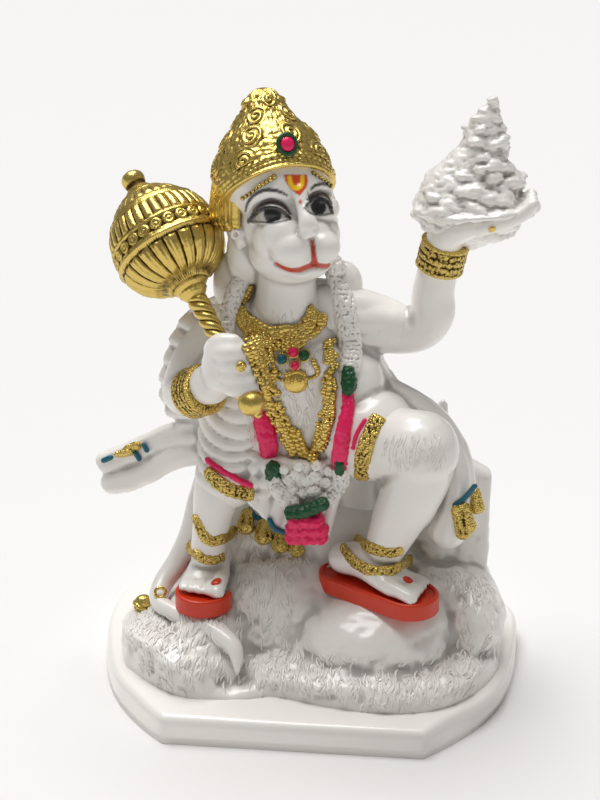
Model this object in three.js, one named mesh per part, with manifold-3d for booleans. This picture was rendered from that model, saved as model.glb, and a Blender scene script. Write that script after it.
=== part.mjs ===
// A cast devotional statue of Hanuman, about nine inches tall, made in one piece with its plinth.
// He stands with one foot on the ground and one on a boulder, a mace in his right hand and the
// herb mountain raised on his left. Millimetres, +Z up, the front faces -Y, and the origin is the
// centre of the plinth's underside.
import * as THREE from "three";
import { mergeVertices } from "three/addons/utils/BufferGeometryUtils.js";
import Module from "manifold-3d";

const wasm = await Module();
wasm.setup();

// Driving sizes.
const STATUE_HEIGHT = 222;
const PLINTH_WIDTH = 162;
const PLINTH_DEPTH = 110;
const PLINTH_THICKNESS = 11;
const PLINTH_FRONT_WIDTH = 89;
const PLINTH_BACK_CORNER = 20;
const PLINTH_EDGE_ROUND = 2.5;
const PLINTH_SWEEP_START = -0.47;
const PLINTH_SWEEP_END = 0.45;

// The free forms are laid out on a master of this height and plinth, and follow the statue's height.
const MASTER_HEIGHT = 222;
const MASTER_PLINTH = 11;
const SHARE = (STATUE_HEIGHT - PLINTH_THICKNESS) / (MASTER_HEIGHT - MASTER_PLINTH);

// A place on the master, carried to the statue: x to the viewer's right, y back, z up.
function at(x, y, z) {
  return new THREE.Vector3(x * SHARE, y * SHARE, PLINTH_THICKNESS + (z - MASTER_PLINTH) * SHARE);
}

const SIDEWAYS = new THREE.Vector3(1, 0, 0);
const BACKWARDS = new THREE.Vector3(0, 1, 0);
const UPWARDS = new THREE.Vector3(0, 0, 1);
const CAP_ROWS = 1.5;

// Every solid that the casting is joined from.
const clay = [];

function addSolid(geometry) {
  const bare = geometry.index ? geometry : mergeVertices(geometry);
  bare.deleteAttribute("normal");
  bare.deleteAttribute("uv");
  const closed = mergeVertices(bare, 1e-4);
  const mesh = new wasm.Mesh({
    numProp: 3,
    vertProperties: closed.attributes.position.array,
    triVerts: new Uint32Array(closed.index.array),
  });
  clay.push(new wasm.Manifold(mesh));
}

// Moves every vertex of a three.js geometry to where the function says.
function warp(geometry, place) {
  const points = geometry.attributes.position;
  const vertex = new THREE.Vector3();
  for (let i = 0; i < points.count; i += 1) {
    vertex.fromBufferAttribute(points, i);
    const moved = place(vertex.x, vertex.y, vertex.z);
    points.setXYZ(i, moved.x, moved.y, moved.z);
  }
  return geometry;
}

// A limb: a closed form with round ends along stations [x, y, z, half width, half depth].
// The half width runs along the side vector, and the half depth defaults to the half width. Folds
// stand out all round it, where it is cloth.
function limb(stations, { sides, rows, side = SIDEWAYS, folds = 0, foldDepth = 0 }) {
  const centres = new THREE.CatmullRomCurve3(stations.map(([x, y, z]) => at(x, y, z)));
  const widths = stations.map(([, , , w, d]) => new THREE.Vector3(w, d ?? w, 0).multiplyScalar(SHARE));
  const sizes = new THREE.CatmullRomCurve3(widths);
  const capShare = CAP_ROWS / rows;
  addSolid(warp(new THREE.SphereGeometry(1, sides, rows), (x, y, z) => {
    const t = Math.acos(THREE.MathUtils.clamp(y, -1, 1)) / Math.PI;
    const u = THREE.MathUtils.clamp((t - capShare) / (1 - 2 * capShare), 0, 1);
    const fromEnd = Math.min(t, 1 - t) / capShare;
    const round = fromEnd < 1 ? Math.sin((fromEnd * Math.PI) / 2) : 1;
    const size = sizes.getPoint(u);
    const tangent = centres.getTangent(u);
    const across = side.clone().addScaledVector(tangent, -side.dot(tangent)).normalize();
    const through = tangent.clone().cross(across);
    const ring = Math.hypot(x, z) / (1 + foldDepth * Math.cos(folds * Math.atan2(z, x))) || 1;
    const overhang = Math.sqrt(1 - round * round) * Math.min(size.x, size.y) * (t < 0.5 ? -1 : 1);
    return centres.getPoint(u)
      .addScaledVector(tangent, overhang)
      .addScaledVector(across, (x / ring) * round * size.x)
      .addScaledVector(through, (z / ring) * round * size.y);
  }));
}

// A pebble: an ellipsoid at a place, with half sizes, turned by degrees about X, Y and Z.
function pebble([x, y, z], [rx, ry, rz], { turn = [0, 0, 0], segments }) {
  const tilt = new THREE.Euler(...turn.map(THREE.MathUtils.degToRad));
  const centre = at(x, y, z);
  addSolid(warp(new THREE.SphereGeometry(1, ...segments), (px, py, pz) => (
    new THREE.Vector3(px * rx, -pz * ry, py * rz).multiplyScalar(SHARE).applyEuler(tilt).add(centre))));
}

// A turned form between two places: rows of [share of the length, radius, lobe depth], with a
// number of lobes standing out all round it.
function turned(from, to, rows, lobes) {
  const start = at(...from);
  const axis = at(...to).sub(start);
  const upright = new THREE.Quaternion().setFromUnitVectors(UPWARDS, axis.clone().normalize());
  const profile = rows.map(([share, radius]) => new THREE.Vector2(radius * SHARE, share));
  addSolid(warp(new THREE.LatheGeometry(profile, lobes * 2), (x, y, z) => {
    const [, , depth = 0] = rows.reduce((near, row) => (
      Math.abs(row[0] - y) < Math.abs(near[0] - y) ? row : near));
    const lobe = 1 + depth * Math.cos(lobes * Math.atan2(z, x));
    return new THREE.Vector3(x * lobe, -z * lobe, y * axis.length()).applyQuaternion(upright).add(start);
  }));
}

// Cloth: a slab of some thickness whose middle surface is a function of u and v, both 0 to 1.
function cloth(surface, thickness, across, down) {
  const small = 1e-3;
  addSolid(warp(new THREE.BoxGeometry(1, 1, 1, across, down, 1), (x, y, z) => {
    const u = x + 0.5;
    const v = y + 0.5;
    const point = surface(u, v);
    const alongU = surface(u + small, v).sub(surface(u - small, v));
    const alongV = surface(u, v + small).sub(surface(u, v - small));
    return point.addScaledVector(alongU.cross(alongV).normalize(), z * thickness * SHARE);
  }));
}

// A surface ruled between two edges, each a smooth curve through places, with pleats across u.
function draped(edgeA, edgeB, { pleats, depth }) {
  const a = new THREE.CatmullRomCurve3(edgeA.map((p) => at(...p)));
  const b = new THREE.CatmullRomCurve3(edgeB.map((p) => at(...p)));
  return (u, v) => a.getPoint(THREE.MathUtils.clamp(u, 0, 1))
    .lerp(b.getPoint(THREE.MathUtils.clamp(u, 0, 1)), v)
    .addScaledVector(BACKWARDS, Math.cos(u * pleats * 2 * Math.PI) * depth * SHARE);
}

// The plinth: a flat-fronted slab whose sides sweep back in long curves, its upper edge chamfered.
function plinth() {
  const [halfWidth, halfDepth] = [PLINTH_WIDTH / 2, PLINTH_DEPTH / 2];
  const halfFront = PLINTH_FRONT_WIDTH / 2;
  const side = halfWidth - PLINTH_EDGE_ROUND;
  const front = halfDepth - PLINTH_EDGE_ROUND;
  const sweepStart = front * PLINTH_SWEEP_START;
  const sweepEnd = front * PLINTH_SWEEP_END;
  const outline = new THREE.Shape();
  outline.moveTo(-halfFront, -front);
  outline.lineTo(halfFront, -front);
  outline.quadraticCurveTo(side, sweepStart, side, sweepEnd);
  outline.lineTo(side, front - PLINTH_BACK_CORNER);
  outline.quadraticCurveTo(side, front, side - PLINTH_BACK_CORNER, front);
  outline.lineTo(-side + PLINTH_BACK_CORNER, front);
  outline.quadraticCurveTo(-side, front, -side, front - PLINTH_BACK_CORNER);
  outline.lineTo(-side, sweepEnd);
  outline.quadraticCurveTo(-side, sweepStart, -halfFront, -front);
  const slab = new THREE.ExtrudeGeometry(outline, {
    depth: PLINTH_THICKNESS,
    curveSegments: 5,
    bevelThickness: PLINTH_EDGE_ROUND,
    bevelSize: PLINTH_EDGE_ROUND,
    bevelSegments: 1,
  });
  slab.translate(0, 0, -PLINTH_EDGE_ROUND);
  addSolid(slab);
  const below = new THREE.BoxGeometry(PLINTH_WIDTH * 2, PLINTH_DEPTH * 2, PLINTH_THICKNESS);
  addSolid(below.translate(0, 0, -PLINTH_THICKNESS / 2));
  const cut = clay.pop();
  clay.push(clay.pop().subtract(cut));
}

// The ground he stands on: a cake of rock whose foot follows an outline on the plinth, and whose
// top is the highest of several rounded mounds. A tall slab of rock stands behind the raised knee.
const ROCK_OUTLINE = [
  [-66, -21], [-55, -32], [-40, -41], [-18, -40], [-8, -37], [12, -42], [30, -44], [48, -41],
  [62, -30], [72, -12], [74, 8], [70, 28], [50, 40], [20, 43], [-20, 43], [-52, 38], [-68, 22],
  [-72, 0],
];
// [x, y, half width, half depth, top]
const MOUNDS = [
  [-46, -12, 30, 32, 29], [-36, 0, 20, 36, 36.5], [24, -16, 52, 30, 24], [27, -13, 30, 24, 43],
  [-5, 10, 36, 34, 50], [-2, 22, 56, 26, 68], [52, 14, 24, 34, 44],
];
const MOUND_BLEND = 9;
const DOME_ROUNDNESS = 1.6;
const ROCK_UNEVENNESS = 1.1;
const ROCK_SLAB = [
  [50, 21, 30, 20.5, 13], [51, 21, 62, 19.2, 11], [51.6, 21, 72, 18.8, 9.5], [52, 21, 80, 17.6, 8],
];
const ROCK_SPUR = [[45, 18, 82, 9, 6], [48, 19, 96, 4.6, 4], [49, 19.5, 105, 1.8, 1.5]];
const ROCK_RINGS = [0, 0.16, 0.32, 0.46, 0.58, 0.69, 0.79, 0.88, 0.95, 1];

// A smooth unevenness of the rock's top between -1 and 1.
function ripple(x, y) {
  return Math.sin(0.93 * x - 0.434) * Math.sin(0.81 * y + 0.9) * Math.cos(0.63 * x + 4.6);
}

function moundHeight(x, y) {
  const total = MOUNDS.reduce((sum, [cx, cy, rx, ry, top]) => {
    const reach = ((x - cx) / rx) ** 2 + ((y - cy) / ry) ** 2;
    const dome = Math.sqrt(Math.max(0, 1 - reach ** DOME_ROUNDNESS));
    return sum + ((top - MASTER_PLINTH) * dome) ** MOUND_BLEND;
  }, 0);
  return MASTER_PLINTH + total ** (1 / MOUND_BLEND) + ROCK_UNEVENNESS * ripple(x, y);
}

function ground() {
  const corners = ROCK_OUTLINE.map(([x, y]) => new THREE.Vector3(x, y, 0));
  const foot = new THREE.CatmullRomCurve3(corners, true);
  const profile = ROCK_RINGS.map((ring) => new THREE.Vector2(ring, 1));
  profile.push(new THREE.Vector2(1.02, 0), new THREE.Vector2(0, 0));
  addSolid(warp(new THREE.LatheGeometry(profile, 26), (x, level, z) => {
    const ring = Math.hypot(x, z);
    const edge = foot.getPoint((Math.atan2(z, x) / (2 * Math.PI) + 1) % 1);
    const [px, py] = [edge.x * ring, edge.y * ring];
    const top = Math.max(moundHeight(px, py), MASTER_PLINTH + 3);
    return at(px, py, level > 0.5 ? top : MASTER_PLINTH * 0.7);
  }));
  limb(ROCK_SLAB, { sides: 8, rows: 6 });
  limb(ROCK_SPUR, { sides: 5, rows: 5 });
}

// The legs, with the hips that carry them.
const RIGHT_LEG = [
  [-15, 4, 98, 15], [-28, -2, 86, 10.5], [-32.5, -5, 76, 9], [-35, -5, 64, 7], [-36.6, -4, 54, 6.6],
  [-37, -3, 46, 6.4],
];
const LEFT_THIGH = [[6, 6, 96, 15], [24, -6, 99.5, 14], [41, -18, 102.5, 13]];
const LEFT_SHIN = [[42, -17, 102, 13.4], [40, -16, 88, 12], [34, -13.5, 72, 9.6], [28.5, -11, 58, 7]];
function legs() {
  limb(RIGHT_LEG, { sides: 8, rows: 8 });
  limb(LEFT_THIGH, { sides: 8, rows: 6, side: UPWARDS });
  limb(LEFT_SHIN, { sides: 8, rows: 7 });
}

// A sandalled foot, from heel to toe along its heading in degrees, toes towards -Y at 0.
const SOLE_THICKNESS = 6.2;
const SANDAL_HALF_WIDTH = 10.6;
const SANDAL_HALF_LENGTH = 24.5;
const SANDAL_HEEL_SHARE = 0.86;
function sandalledFoot([x, y, soleTop], heading, bigToe) {
  const turn = THREE.MathUtils.degToRad(heading);
  const place = (along, aside, up) => [
    x + Math.sin(turn) * along + Math.cos(turn) * aside,
    y - Math.cos(turn) * along + Math.sin(turn) * aside,
    soleTop + up,
  ];
  const straight = SANDAL_HALF_LENGTH - SANDAL_HALF_WIDTH;
  const outline = new THREE.Shape();
  outline.absarc(0, straight, SANDAL_HALF_WIDTH, 0, Math.PI);
  outline.absarc(0, -straight, SANDAL_HALF_WIDTH * SANDAL_HEEL_SHARE, Math.PI, 2 * Math.PI);
  const sole = new THREE.ExtrudeGeometry(outline, {
    depth: SOLE_THICKNESS,
    curveSegments: 5,
    bevelEnabled: false,
  });
  addSolid(warp(sole, (px, py, pz) => at(...place(py, -px, pz - SOLE_THICKNESS))));
  const aside = new THREE.Vector3(Math.cos(turn), Math.sin(turn), 0);
  limb([
    [...place(-14, 0, 4), 6.4, 6],
    [...place(-5, 0, 5), 7, 6.4],
    [...place(5, 0, 3.2), 8.2, 4.6],
    [...place(12, 0, 1.8), 8.6, 3.2],
  ], { sides: 7, rows: 6, side: aside });
  pebble(place(15.5, bigToe * 4.2, 1.8), [3.6, 4.8, 3], { turn: [0, 0, heading], segments: [6, 4] });
}

// The trunk: hips, belly, chest and neck, with the wrapped cloth over the hips.
function trunk() {
  limb([
    [-3, 7, 88, 24, 16], [-3, 4, 100, 23, 14.5], [-3, 2.5, 113, 22, 14],
    [-5, 3, 127, 22, 14], [-7, 5, 140, 18, 11.5], [-7.5, 5, 151, 11, 10], [-7, 3, 160, 10.5, 10.5],
  ], { sides: 11, rows: 9 });
  pebble([-24, 9, 138], [14, 11, 11], { segments: [7, 4] });
  pebble([12, 9, 139], [14, 11, 11], { segments: [7, 4] });
}

// The arms. The right forearm comes forward to the mace, the left one is raised under the mountain.
const RIGHT_ARM = [
  [-29, 9, 137, 9.5], [-41, 9, 124, 9], [-46, 6, 112.5, 8.2], [-42, -3, 113.5, 7.6],
  [-36, -13, 119.5, 6.6],
];
const LEFT_ARM = [
  [14, 10, 140, 10], [27, 12, 136.5, 9.2], [38.4, 12.5, 136.4, 8.5], [43.8, 11, 142.5, 8.2],
  [44, 9, 151, 7.6], [45.6, 6.5, 161, 7], [47.6, 4, 171, 6.6],
];
function arms() {
  limb(RIGHT_ARM, { sides: 7, rows: 8, side: UPWARDS });
  limb(LEFT_ARM, { sides: 8, rows: 9, side: BACKWARDS });
}

// The right fist, closed round the mace: a palm with four finger rolls and a thumb on top.
const FINGER_COUNT = 4;
function fist() {
  pebble([-25.5, -21.5, 131], [9, 8.5, 11.2], { turn: [0, 12, 0], segments: [8, 6] });
  for (let finger = 0; finger < FINGER_COUNT; finger += 1) {
    const share = finger / (FINGER_COUNT - 1);
    pebble([-22.4 + 3.4 * share, -25.2, 138 - 13.4 * share], [7.8 - share, 5.4, 2.9], {
      turn: [0, 14, 16], segments: [6, 4],
    });
  }
  limb([[-31, -21, 136, 2.6], [-28, -24, 140, 2.8], [-23.5, -25.5, 141.2, 2.3]], {
    sides: 6, rows: 5,
  });
}

// The mace, turned on its own axis from the pommel up to the knob, its head fluted.
const MACE_POMMEL = [-16.5, -27, 121.5];
const MACE_KNOB = [-66.5, 20, 189.5];
const MACE_FLUTES = 10;
const MACE_GRIP = [
  [0, 0], [0.012, 3.4], [0.045, 4.6], [0.078, 3.4], [0.1, 2.3], [0.44, 3.3], [0.465, 5.2],
  [0.51, 6.2], [0.54, 0],
];
const MACE_HEAD = [
  [0.475, 0], [0.485, 5.6, 0.03], [0.545, 14.2, 0.06], [0.605, 18.6, 0.04], [0.67, 19.8],
  [0.72, 19.2, 0.03], [0.79, 17, 0.05], [0.86, 11.6, 0.06], [0.905, 6], [0.93, 3.6], [0.96, 4.4],
  [0.985, 3], [1, 0],
];
function mace() {
  turned(MACE_POMMEL, MACE_KNOB, MACE_GRIP, 4);
  turned(MACE_POMMEL, MACE_KNOB, MACE_HEAD, MACE_FLUTES);
}

// The head, on axes of its own: it looks to the viewer's right.
const HEAD_CENTRE = [-6.5, 1, 175];
const HEAD_YAW = 26;
const headTurn = new THREE.Euler(0, 0, THREE.MathUtils.degToRad(HEAD_YAW));

function onHead(x, y, z) {
  const p = new THREE.Vector3(x, y, z).applyEuler(headTurn);
  return [HEAD_CENTRE[0] + p.x, HEAD_CENTRE[1] + p.y, HEAD_CENTRE[2] + p.z];
}

function head() {
  const turn = [0, 0, HEAD_YAW];
  pebble(onHead(0, 1, 4), [17, 16.5, 19], { turn, segments: [10, 7] });
  pebble(onHead(0, -4, -8), [14.5, 13.5, 10.5], { turn, segments: [8, 5] });
  pebble(onHead(0, -14, -7.5), [10.4, 8.6, 7], { turn, segments: [8, 5] });
  for (const side of [-1, 1]) {
    pebble(onHead(side * 5.9, -17.6, -2.6), [6.4, 6, 5.8], { turn, segments: [7, 5] });
    pebble(onHead(side * 17, 3, -4), [2.6, 4, 8.5], { turn, segments: [5, 4] });
  }
  pebble([-10, 12, 160], [13, 9, 17], { segments: [7, 5] });
  pebble([-27, 9, 151], [8, 8, 13], { segments: [6, 4] });
  limb([
    [...onHead(0, -15.4, 11), 2.4, 2],
    [...onHead(0, -18.5, 5), 2.7, 2.2],
    [...onHead(0, -21, 1), 3.6, 2.6],
  ], { sides: 5, rows: 5 });
}

// The crown: a tapering cap that leans back, its lower edge arched over the brow, with bosses all
// round, a jewel in front and a flame-shaped guard in front of each ear.
const CROWN_FOOT = [-11.5, 3.5, 183];
const CROWN_TIP = [-17, 12, 221.5];
const CROWN_BOSSES = 8;
const CROWN_ARCH = 0.28;
const CROWN_ARCH_SHARPNESS = 1.1;
const CROWN_PROFILE = [
  [0, 0], [0.02, 18.6, 0], [0.11, 20.8, 0.01], [0.2, 21.2, 0.01], [0.3, 20.2, 0.03],
  [0.42, 18.8, 0.06], [0.54, 16, 0.05], [0.64, 13.2, 0.06], [0.75, 9.4, 0.04], [0.82, 7.8, 0.05],
  [0.89, 6.6, 0.05], [0.96, 4.2, 0.02], [1, 0, 0],
];
function crown() {
  const foot = at(...CROWN_FOOT);
  const axis = at(...CROWN_TIP).sub(foot);
  const upright = new THREE.Quaternion().setFromUnitVectors(UPWARDS, axis.clone().normalize());
  const last = CROWN_PROFILE.length - 1;
  const profile = CROWN_PROFILE.map(([share], row) => (
    new THREE.Vector2(row === 0 || row === last ? 0 : 1, share)));
  const widthAt = (share) => {
    const next = CROWN_PROFILE.findIndex(([s]) => s >= share);
    const [[s0, r0], [s1, r1]] = [CROWN_PROFILE[next - 1], CROWN_PROFILE[next]];
    return r0 + ((r1 - r0) * (share - s0)) / (s1 - s0);
  };
  addSolid(warp(new THREE.LatheGeometry(profile, CROWN_BOSSES * 2), (x, share, z) => {
    if (Math.hypot(x, z) < 1e-6) {
      return new THREE.Vector3(0, 0, share * axis.length()).applyQuaternion(upright).add(foot);
    }
    const angle = Math.atan2(-z, x);
    const facing = Math.max(0, Math.cos(angle + Math.PI / 2 - headTurn.z));
    const brow = facing ** CROWN_ARCH_SHARPNESS;
    const raised = share + (1 - share) * CROWN_ARCH * brow;
    const [, , depth] = CROWN_PROFILE.find(([s]) => Math.abs(s - share) < 1e-6);
    const radius = widthAt(raised) * (1 + depth * Math.cos(CROWN_BOSSES * angle)) * SHARE;
    return new THREE.Vector3(
      Math.cos(angle) * radius,
      Math.sin(angle) * radius,
      raised * axis.length(),
    ).applyQuaternion(upright).add(foot);
  }));
  pebble([-5.6, -9, 205.8], [3.2, 2.2, 4.4], { turn: [30, 0, HEAD_YAW], segments: [6, 5] });
  for (const side of [-1, 1]) {
    limb([
      [...onHead(side * 18, 12, 18), 3.4, 5.4], [...onHead(side * 20, 13, 7), 3.6, 6.4],
      [...onHead(side * 17.5, 10, -1), 2.8, 4.6],
    ], { sides: 5, rows: 5 });
  }
}

// The shawl: over both shoulders, fanned in pleats over the right arm, swept out to the side in a
// two-lobed scarf below it, and falling from the left arm over the rock behind the raised knee.
const CAPE = [
  [-6, 13, 148, 24, 6], [-5, 16, 134, 29, 8], [-3, 18, 110, 31, 10], [0, 21, 84, 34, 12],
  [0, 23, 62, 34, 12],
];
const SCARF_UPPER = [
  [-32, 4, 96, 6, 5], [-50, 10, 91, 6.4, 4], [-62, 12, 85.5, 5.4, 3.4], [-72, 13.5, 81, 4.8, 3],
  [-79, 14, 78, 4.2, 2.6],
];
const SCARF_LOWER = [
  [-32, 4, 90, 5, 4], [-50, 9, 82.5, 5, 4], [-62, 11.5, 75.5, 5, 3.4], [-71, 12.5, 71.5, 4.8, 3],
  [-78, 13, 70.5, 3.6, 2.6],
];
const SHAWL_FALL = [
  [43, 6, 106, 5, 7], [49.5, 5, 99, 5, 8], [53.5, 3, 88, 4.6, 9], [54, -1, 75, 5, 8],
  [51.5, -4, 66, 6, 7],
];
function shawl() {
  cloth(draped(
    [[-34, 10, 146], [-45, 12, 140], [-50.5, 11, 130], [-53, 10, 120], [-53.5, 9, 108], [-48, 8, 99]],
    [[-22, 9, 141], [-30, 8, 133], [-34, 5, 127], [-35, 2, 120], [-35, 2, 113], [-33, 2, 106]],
    { pleats: 4, depth: 1.3 },
  ), 9, 15, 1);
  limb(SCARF_UPPER, { sides: 6, rows: 7, side: UPWARDS });
  limb(SCARF_LOWER, { sides: 6, rows: 7, side: UPWARDS });
  cloth(draped(
    [[10, 2, 147], [20, 4, 137], [23.5, 5, 128], [29, 5, 117], [39, 6, 109.5], [46, 9, 105]],
    [[18, -6, 130], [18, -7, 122], [20, -7, 114], [26, -3, 109], [36, 2, 104], [46, 4, 96]],
    { pleats: 3, depth: 1.2 },
  ), 10, 10, 1);
  limb(SHAWL_FALL, { sides: 7, rows: 7 });
  limb(CAPE, { sides: 14, rows: 8, folds: 7, foldDepth: 0.05 });
}

// The wrapped loincloth: a hem roll round each thigh and a pleated end that hangs between the legs.
function loincloth() {
  limb([[-40, 1, 88, 3], [-34, -9, 84.5, 3], [-24, -13.5, 80, 3], [-16, -11, 76.5, 3]], {
    sides: 5, rows: 6,
  });
  limb([
    [24, 6, 112, 2.6], [23, -8, 116, 2.8], [27, -19, 106, 3], [24.5, -20, 94, 3], [23, -14, 89, 2.6],
  ], { sides: 5, rows: 7, side: BACKWARDS });
  cloth(draped(
    [[-20, -9, 94], [-6, -13, 92], [8, -14, 92], [20, -10, 94]],
    [[-22, -13, 77], [-10, -17, 70], [0, -18, 64], [10, -16, 62]],
    { pleats: 3, depth: 1 },
  ), 8, 9, 1);
}

// The flower garland down to the knees, with its tassel, and the collar with its pendant inside it.
const GARLAND = [
  [10, 4, 160, 3.6], [14.5, -6, 152, 4.6], [17.5, -10.5, 140, 4.8], [18, -13, 128, 4.6],
  [16.8, -15, 118, 4], [15.8, -17, 104, 4], [14, -18.5, 95, 4], [9, -20, 88, 4], [2.5, -20.5, 83.5, 4],
  [-6, -20, 87, 4], [-12, -18, 95, 4], [-15, -16.5, 106, 4], [-17.5, -16, 115, 4.2],
  [-21, -14, 128, 4.6], [-23, -9, 142, 4.6], [-20, 2, 154, 3.6],
];
const COLLAR = [
  [-22, 0, 154, 3], [-21.5, -7, 148, 4], [-15, -10.5, 143, 4.6], [-5.5, -12, 140, 5], [3, -10.5, 142.5, 4.6],
  [8.5, -6, 148, 4], [9, 0, 154, 3],
];
function garlands() {
  limb(GARLAND, { sides: 5, rows: 22, side: BACKWARDS });
  limb(COLLAR, { sides: 5, rows: 9, side: BACKWARDS });
  limb([[-5, -13.5, 136, 4.5], [-4.5, -15, 126, 4]], { sides: 6, rows: 4 });
  limb([[2.5, -19.5, 80, 5.6, 4], [2.5, -20.5, 74, 6.4, 4.6], [2.5, -21, 68, 7, 4.6]], {
    sides: 6, rows: 4,
  });
}

// Bangles and anklets: rings slightly proud of the limb, each a centre, an axis, a radius and a
// half height.
const RINGS = [
  [[-37, -12, 118.6], [0.55, -0.72, 0.42], 7.4, 4.4],
  [[46.9, 5, 166], [0.22, -0.24, 1], 7.6, 5.8],
  [[-36.6, -3.6, 53], [-0.05, -0.2, 1], 7.4, 1.8],
  [[-34.6, -5, 63], [-0.1, -0.3, 1], 7.8, 1.8],
  [[28.6, -11.2, 60.5], [-0.1, -0.25, 1], 8, 1.8],
  [[27.4, -11.5, 55.5], [0.1, -0.3, 1], 8.4, 1.8],
];
function bangles() {
  for (const [centre, direction, radius, halfHeight] of RINGS) {
    const axis = new THREE.Vector3(...direction).normalize();
    const turn = new THREE.Quaternion().setFromUnitVectors(BACKWARDS, axis);
    addSolid(warp(new THREE.CylinderGeometry(radius, radius, 2 * halfHeight, 9), (x, y, z) => (
      new THREE.Vector3(x, y, z).multiplyScalar(SHARE).applyQuaternion(turn).add(at(...centre)))));
  }
}

// The tail: down behind the right leg, round on the ground and forward over the mound to its tip.
const TAIL = [
  [-20, 14, 90, 5], [-36, 12, 80, 4.8], [-41.5, 10, 68, 4.6], [-45, 7, 54, 4.6], [-50, 4, 43, 4.4],
  [-55, -3, 36, 4], [-54.5, -11, 33, 3.4], [-48, -16.5, 32, 3.2], [-39.9, -20.5, 30.5, 3.6],
  [-30, -26, 29.5, 3.6], [-23, -31, 26, 3], [-21.5, -36, 19, 1.4],
];
function tail() {
  limb(TAIL, { sides: 6, rows: 18, side: UPWARDS });
  pebble([-59, -13, 33], [3.6, 3.2, 3.6], { segments: [6, 5] });
}

// The raised hand and the herb mountain on it: a slab on the fingers, boulders piled to a peak.
const MOUNTAIN_CENTRE = [55.5, 4];
const MOUNTAIN_FOOT = 181;
const MOUNTAIN_PEAK = 219.5;
// [share of the height, half width, half depth, sideways lean of the peak]
const MOUNTAIN_STEPS = [
  [0, 20.5, 15, 0.3], [0.08, 22.6, 17, 0.4], [0.18, 19.6, 16, 0.4], [0.27, 18, 14.6, 1],
  [0.36, 15, 12.6, 1.8], [0.45, 12.6, 11, 2.6], [0.55, 10.6, 9.4, 3.6], [0.65, 9, 8.2, 4],
  [0.74, 7.8, 7, 4], [0.84, 6, 5.6, 4.4], [0.92, 4.2, 4.2, 5.2], [0.98, 2.4, 2.4, 6],
];
const MOUNTAIN_LUMPS = 6;
const MOUNTAIN_LUMP_DEPTH = 0.1;
const MOUNTAIN_FOOT_LUMP_DEPTH = 0.03;
const MOUNTAIN_FOOT_STEPS = 2;
function mountain() {
  const [cx, cy] = MOUNTAIN_CENTRE;
  limb([
    [46.8, 4.5, 170, 6.8], [49, 2, 175.5, 9.5, 6], [56, 0, 178.5, 11.5, 5], [65, -1, 181, 10.5, 3.6],
  ], { sides: 7, rows: 6, side: BACKWARDS });
  for (let finger = 0; finger < FINGER_COUNT; finger += 1) {
    const aside = (finger - 1.5) * 5.4;
    limb([[60, aside, 179.5, 2.8], [69, aside, 182, 2.6], [75.5, aside, 185.5, 2.2]], {
      sides: 5, rows: 5,
    });
  }
  const steps = MOUNTAIN_STEPS.length;
  addSolid(warp(new THREE.SphereGeometry(1, MOUNTAIN_LUMPS * 2, steps + 1), (x, y, z) => {
    const row = Math.round((Math.acos(THREE.MathUtils.clamp(y, -1, 1)) / Math.PI) * (steps + 1));
    const step = THREE.MathUtils.clamp(steps - row, 0, steps - 1);
    const [share, halfWidth, halfDepth, lean] = MOUNTAIN_STEPS[step];
    const ring = Math.hypot(x, z);
    const height = MOUNTAIN_FOOT + (MOUNTAIN_PEAK - MOUNTAIN_FOOT) * (row === 0 ? 1 : share);
    if (ring < 1e-6) {
      return at(cx + lean, cy, row === 0 ? height : height - 1);
    }
    const depth = step > MOUNTAIN_FOOT_STEPS ? MOUNTAIN_LUMP_DEPTH : MOUNTAIN_FOOT_LUMP_DEPTH;
    const swing = Math.atan2(z, x) * MOUNTAIN_LUMPS + Math.floor(step / 2) * Math.PI;
    const lump = 1 + depth * Math.cos(swing);
    return at(
      cx + lean + (x / ring) * halfWidth * lump,
      cy - (z / ring) * halfDepth * lump,
      height,
    );
  }));
}

plinth();
ground();
tail();
legs();
sandalledFoot([-36.3, -1, 42], -2, 1);
sandalledFoot([27.5, -14.5, 48.6], 59, -1);
trunk();
loincloth();
shawl();
arms();
fist();
mace();
head();
crown();
garlands();
bangles();
mountain();

const joined = wasm.Manifold.union(clay).getMesh();
const casting = new THREE.BufferGeometry();
casting.setAttribute("position", new THREE.BufferAttribute(joined.vertProperties, 3));
casting.setIndex(new THREE.BufferAttribute(joined.triVerts, 1));
casting.computeVertexNormals();

const glazedResin = new THREE.MeshStandardMaterial({ color: 0xf1eee8, roughness: 0.28, metalness: 0 });
const figure = new THREE.Mesh(casting, glazedResin);
figure.name = "hanuman_statue";

const statue = new THREE.Group();
statue.add(figure);

export default statue;
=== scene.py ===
import math

import bmesh
import bpy
import numpy as np
from mathutils import Euler, Matrix, Vector, noise
from mathutils.bvhtree import BVHTree


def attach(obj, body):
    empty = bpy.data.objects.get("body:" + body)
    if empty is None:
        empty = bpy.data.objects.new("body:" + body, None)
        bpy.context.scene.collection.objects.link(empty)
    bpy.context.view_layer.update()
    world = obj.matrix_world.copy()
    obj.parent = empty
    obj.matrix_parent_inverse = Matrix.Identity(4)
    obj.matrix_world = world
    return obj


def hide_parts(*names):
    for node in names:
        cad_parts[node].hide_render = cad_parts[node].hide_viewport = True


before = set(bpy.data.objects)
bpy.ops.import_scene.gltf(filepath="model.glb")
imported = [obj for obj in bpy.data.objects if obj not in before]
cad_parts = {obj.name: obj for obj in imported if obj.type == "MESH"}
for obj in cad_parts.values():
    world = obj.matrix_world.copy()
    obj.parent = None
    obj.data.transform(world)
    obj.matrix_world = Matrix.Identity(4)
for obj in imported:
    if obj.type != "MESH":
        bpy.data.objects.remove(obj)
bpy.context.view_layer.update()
scene = bpy.context.scene

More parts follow.
